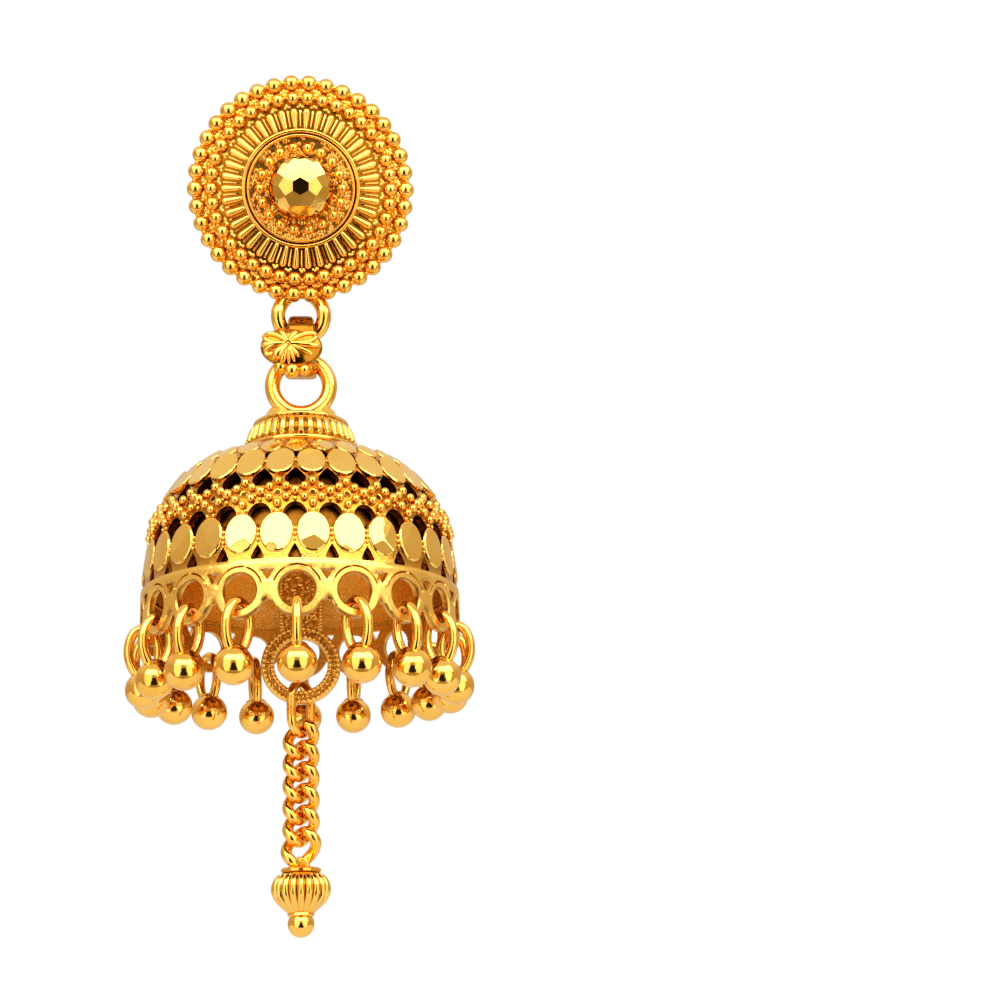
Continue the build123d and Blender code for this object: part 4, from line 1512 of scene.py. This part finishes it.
# %% Curb links
LINKS = 6
PITCH = 1.52                   # from one link to the next
CHAIN_WIRE = 0.39
first_link_z = link_middle_z - LINK_HALF - 0.38
chain = Metal()
t = np.linspace(0, 2 * math.pi, 48, endpoint=False)
link_x = 0.87 * np.sign(np.cos(t)) * np.abs(np.cos(t)) ** 0.8
link_z = 1.12 * np.sign(np.sin(t)) * np.abs(np.sin(t)) ** 0.9
lean = link_x - 0.34 * link_z
twist = math.radians(58) * link_z / 1.08
for k in range(LINKS):
    open_out = 1.12 if k == LINKS - 1 else 1.0
    path = np.stack([-lean * np.cos(twist) * open_out, axis_y + link_x * np.sin(twist),
                     first_link_z - k * PITCH + link_z], -1)
    wire(chain, path, CHAIN_WIRE, cols=16, closed=True)
chain.make("curb_chain_links", "drop", polished, "polished_gold", replaces=("curb_chain",))

# %% [markdown]
# ## Finial
# A short collar, a fluted bead whose ribs are cut deep above its widest part and fade
# out below, and a plain ball at the tip. The last link is soldered into a small eye.

# %% Bead
finial_low, finial_high = box_mm("finial")
collar_top = float(finial_high[2])
bead_top = collar_top - 0.42
bead_foot = bead_top - 2.85
FLUTES = 20
TIP_BALL = 0.92
# Radius of the bead, and how far down from its top.
bead_side = smooth_line([(1.30, 0), (1.60, 0.12), (1.90, 0.46), (2.06, 0.95), (2.00, 1.48),
                         (1.72, 1.98), (1.28, 2.40), (0.86, 2.76)], 6)


def flute_depth(k):
    """Deep on the shoulder, fading below the widest part."""
    down = bead_side[k][1]
    return 0.26 * float(ease(0.03, 0.22, down)) * (1 - 0.80 * float(ease(1.55, 2.4, down)))


def bead_flute(angle, k):
    return -flute_depth(k) * (1 - np.abs(np.cos(angle * FLUTES / 2)) ** 0.6)


# Painted shade in the flutes, deeper where the flutes are cut deeper.
def bead_painted_shade(angle, k):
    return ease(0.5, 0.0, np.abs(np.cos(angle * FLUTES / 2))) * flute_depth(k) * 3.4


print("the bead is %.2f mm wide" % (2 * bead_side[:, 0].max()))

# %% Finial
finial = Metal()
profile = [(r, bead_top - down) for r, down in bead_side]
turned(finial, profile, FLUTES * 14, (0, axis_y), bead_flute, bead_painted_shade)
collar = [(0.0, 0.0), (0.95, 0.0), (1.26, -0.04), (1.39, -0.16), (1.39, -0.30), (1.26, -0.42),
          (1.12, -0.46), (1.20, -0.52), (1.26, -0.60), (1.15, -0.72), (0.0, -0.72)]
turned(finial, [(r, collar_top + z) for r, z in collar], 60, (0, axis_y))
neck = [(0.0, 0.2), (0.92, 0.12), (0.95, 0.0), (0.86, -0.10), (0.62, -0.2), (0.0, -0.25)]
turned(finial, [(r, bead_foot + z) for r, z in neck], 40, (0, axis_y))
grains(finial, [(0, axis_y, float(finial_low[2]) + TIP_BALL)], TIP_BALL, cols=44, rows=28)
eye = circle((0, axis_y, collar_top + 0.12), X, Z, 0.42, 24)
wire(finial, eye, 0.20, cols=12, closed=True)
finial.make("finial_bead_and_ball", "drop", polished, "polished_gold", crease_deg=45, replaces=("finial",))

# %% [markdown]
# ## Soft panels
# Polished gold shows its surroundings, so the studio is drawn for its reflections. Three
# bright panels stand high in front, a broad one to each side and a narrow one in the
# middle. Two dimmer ones carry on below them, down past the dome, so that the undersides
# of balls and grains glow and don't go black.

# %% Panels
middle = np.array([0.0, axis_y, -23.0])
# Name, azimuth to the right of the front, distance, width, foot, top, radiance.
PANELS = [
    ("front_left", -34, 450, 400, 150, 560, 3.3),
    ("front_right", 40, 450, 480, 140, 560, 3.0),
    ("front_middle", 0, 480, 180, 160, 600, 3.2),
    ("low_left", -36, 470, 360, -420, 142, 1.0),
    ("low_right", 36, 470, 360, -420, 132, 1.05),
]


def panel(name, azimuth_deg, distance, width, z_low, z_high, radiance):
    """An upright soft lamp, sizes in millimetres, that faces the earring's axis."""
    lamp = bpy.data.lights.new(name, "AREA")
    lamp.shape = "RECTANGLE"
    lamp.size = width * MM
    lamp.size_y = (z_high - z_low) * MM
    lamp.energy = 4.0 * radiance * width * (z_high - z_low) * MM * MM
    a = math.radians(azimuth_deg)
    away = np.array([math.sin(a), -math.cos(a), 0.0])
    centre = middle + away * distance
    centre[2] = (z_low + z_high) / 2
    obj = bpy.data.objects.new(name, lamp)
    bpy.context.scene.collection.objects.link(obj)
    obj.location = Vector(centre * MM)
    obj.rotation_euler = Vector(away).to_track_quat("Z", "Y").to_euler()
    obj.visible_camera = False


for row in PANELS:
    panel(*row)
print(len(PANELS), "panels, the highest up to", max(row[5] for row in PANELS), "mm")

# %% [markdown]
# ## White all round
# What the camera sees past the earring is plain white, and so is what shows in a mirror.
# For soft light on matt things the room counts only half as much.

# %% World
world = bpy.data.worlds.new("studio")
bpy.context.scene.world = world
world.use_nodes = True
air = world.node_tree
air.nodes.clear()


def either_of(first, second):
    """1 where either of two ray kinds is 1."""
    node = air.nodes.new("ShaderNodeMath")
    node.operation = "MAXIMUM"
    air.links.new(first, node.inputs[0])
    air.links.new(second, node.inputs[1])
    return node.outputs["Value"]


def white(strength):
    """Plain white light of this strength."""
    node = air.nodes.new("ShaderNodeBackground")
    node.inputs["Color"].default_value = (1, 1, 1, 1)
    node.inputs["Strength"].default_value = strength
    return node.outputs["Background"]


rays = air.nodes.new("ShaderNodeLightPath").outputs
seen = either_of(either_of(rays["Is Camera Ray"], rays["Is Glossy Ray"]), rays["Is Transmission Ray"])
mix = air.nodes.new("ShaderNodeMixShader")
air.links.new(seen, mix.inputs["Fac"])
air.links.new(white(0.5), mix.inputs[1])
air.links.new(white(1.0), mix.inputs[2])
world_out = air.nodes.new("ShaderNodeOutputWorld")
air.links.new(mix.outputs["Shader"], world_out.inputs["Surface"])
print("white backdrop ready")

# %% [markdown]
# ## Floor, dark card and tent
# The floor is a pale shelf that ends a little way in front of the earring, with a shaded
# edge. A dark card stands low in front, as a camera and its stand are, and puts the dark
# bar into every ball. Round it all hangs a tent of soft cloth that only mirrors see: it
# glows less and warmer towards the floor, which gives the gold its deeper tones.

# %% Matt finish
def plain(name, colour, roughness):
    """A plain matt finish with a slight mottle, for the studio's own surfaces."""
    finish = bpy.data.materials.new(name)
    finish.use_nodes = True
    tree = finish.node_tree
    matt = tree.nodes["Principled BSDF"]
    matt.inputs["Roughness"].default_value = roughness
    matt.inputs["Specular IOR Level"].default_value = 0.2
    mottle = tree.nodes.new("ShaderNodeTexNoise")
    mottle.inputs["Scale"].default_value = 30.0
    ramp = tree.nodes.new("ShaderNodeValToRGB")
    ramp.color_ramp.elements[0].color = tuple(0.97 * c for c in colour) + (1,)
    ramp.color_ramp.elements[1].color = (*colour, 1)
    tree.links.new(mottle.outputs["Fac"], ramp.inputs["Fac"])
    tree.links.new(ramp.outputs["Color"], matt.inputs["Base Color"])
    return finish


print("plain matt finish ready")

# %% Tent cloth
# Height up the tent from 0 to 1, and its glow there.
TENT = [(0.0, 0.40), (0.33, 0.52), (0.50, 0.62), (0.68, 0.66), (0.80, 0.86), (1.0, 0.90)]


def tent_cloth(name, levels):
    """A soft tent that glows evenly round the room, at these levels from floor to top."""
    finish = bpy.data.materials.new(name)
    finish.use_nodes = True
    tree = finish.node_tree
    tree.nodes.clear()
    out = tree.nodes.new("ShaderNodeOutputMaterial")
    light = tree.nodes.new("ShaderNodeEmission")
    tree.links.new(light.outputs["Emission"], out.inputs["Surface"])
    place = tree.nodes.new("ShaderNodeTexCoord")
    parts = tree.nodes.new("ShaderNodeSeparateXYZ")
    tree.links.new(place.outputs["Generated"], parts.inputs["Vector"])
    ramp = tree.nodes.new("ShaderNodeValToRGB")
    tree.links.new(parts.outputs["Z"], ramp.inputs["Fac"])
    tree.links.new(ramp.outputs["Color"], light.inputs["Color"])
    stops = ramp.color_ramp.elements
    while len(stops) < len(levels):
        stops.new(0.5)
    for stop, (height, level) in zip(stops, levels):
        stop.position = height
        warm = ease(1.0, 0.5, level)
        stop.color = (level, level * (0.98 - 0.20 * warm), level * (0.94 - 0.46 * warm), 1)
    return finish


print("the tent's glow rises from", TENT[0][1], "to", TENT[-1][1])

# %% Floor
FLOOR_Z = -76.0
FLOOR_FRONT = axis_y - 33.0
FLOOR_BACK = 700.0
FLOOR_HALF = 420.0


def studio_sheet(name, corners, finish):
    """A flat sheet of the studio, given by its four corners in millimetres."""
    mesh = bpy.data.meshes.new(name)
    mesh.from_pydata([tuple(np.array(c) * MM) for c in corners], [], [(0, 1, 2, 3)])
    mesh.materials.append(finish)
    obj = bpy.data.objects.new(name, mesh)
    bpy.context.scene.collection.objects.link(obj)
    return obj


left_front = np.array([-FLOOR_HALF, FLOOR_FRONT, FLOOR_Z])
right_front = np.array([FLOOR_HALF, FLOOR_FRONT, FLOOR_Z])
right_back = np.array([FLOOR_HALF, FLOOR_BACK, FLOOR_Z])
left_back = np.array([-FLOOR_HALF, FLOOR_BACK, FLOOR_Z])
studio_sheet("floor", [left_front, right_front, right_back, left_back],
             plain("pale_floor", (0.86, 0.86, 0.85), 0.6))
studio_sheet("floor_edge", [left_front - 4 * Z, right_front - 4 * Z, right_front, left_front],
             plain("floor_edge_shade", (0.05, 0.04, 0.03), 0.8))
print("the floor lies at", FLOOR_Z, "mm")

# %% Dark card
CARD_DISTANCE = 330.0
# Directions of the card's corners from the earring's middle: wide at its foot.
CARD = [(-0.399, -0.693, -0.599), (0.399, -0.693, -0.599), (0.154, -0.987, 0.043),
        (-0.154, -0.987, 0.043)]
card = studio_sheet("dark_card", [middle + CARD_DISTANCE * np.array(c) for c in CARD],
                    plain("dark_card_cloth", (0.02, 0.015, 0.01), 0.9))
card.visible_camera = False
card.visible_diffuse = False
print("the card stands", CARD_DISTANCE, "mm away")

# %% Tent
TENT_RADIUS = 1100.0
ball, faces = unit_ball(32, 24)
tent_mesh = bpy.data.meshes.new("tent")
tent_mesh.from_pydata(((ball * TENT_RADIUS + middle) * MM).tolist(), [], faces.tolist())
tent_mesh.materials.append(tent_cloth("tent_cloth", TENT))
tent = bpy.data.objects.new("tent", tent_mesh)
bpy.context.scene.collection.objects.link(tent)
tent.visible_camera = False
tent.visible_diffuse = False
print("the tent's radius is", TENT_RADIUS, "mm")

# %% [markdown]
# ## Camera
# The camera stands low, close in front, and looks up at the earring, so that the mouth of
# the dome shows. It is turned to look past the earring's right side, which puts the
# earring at the left of the picture.

# %% Camera
RISE = math.radians(15.5)      # the camera looks up by this much
ASIDE = math.radians(5.71)     # and past the earring by this much
EYE_DISTANCE = 146.0
camera_data = bpy.data.cameras.new("camera")
camera = bpy.data.objects.new("camera", camera_data)
bpy.context.scene.collection.objects.link(camera)
bpy.context.scene.camera = camera
camera_data.lens = 72.0 * math.cos(ASIDE)
camera_data.sensor_width = 36.0
camera_data.clip_start = 0.01
camera_data.clip_end = 10.0
forward = np.array([0, math.cos(RISE), math.sin(RISE)])
eye = np.array([0, axis_y, -23.088]) - forward * EYE_DISTANCE
look = forward * math.cos(ASIDE) + X * math.sin(ASIDE)
right = X * math.cos(ASIDE) - forward * math.sin(ASIDE)
up = np.cross(right, look)
camera.location = Vector(eye * MM)
camera.rotation_euler = Matrix(np.stack([right, up, -look], 1).tolist()).to_euler()

bpy.context.scene.view_settings.view_transform = "Standard"
print("camera at", [round(v, 1) for v in eye], "mm")
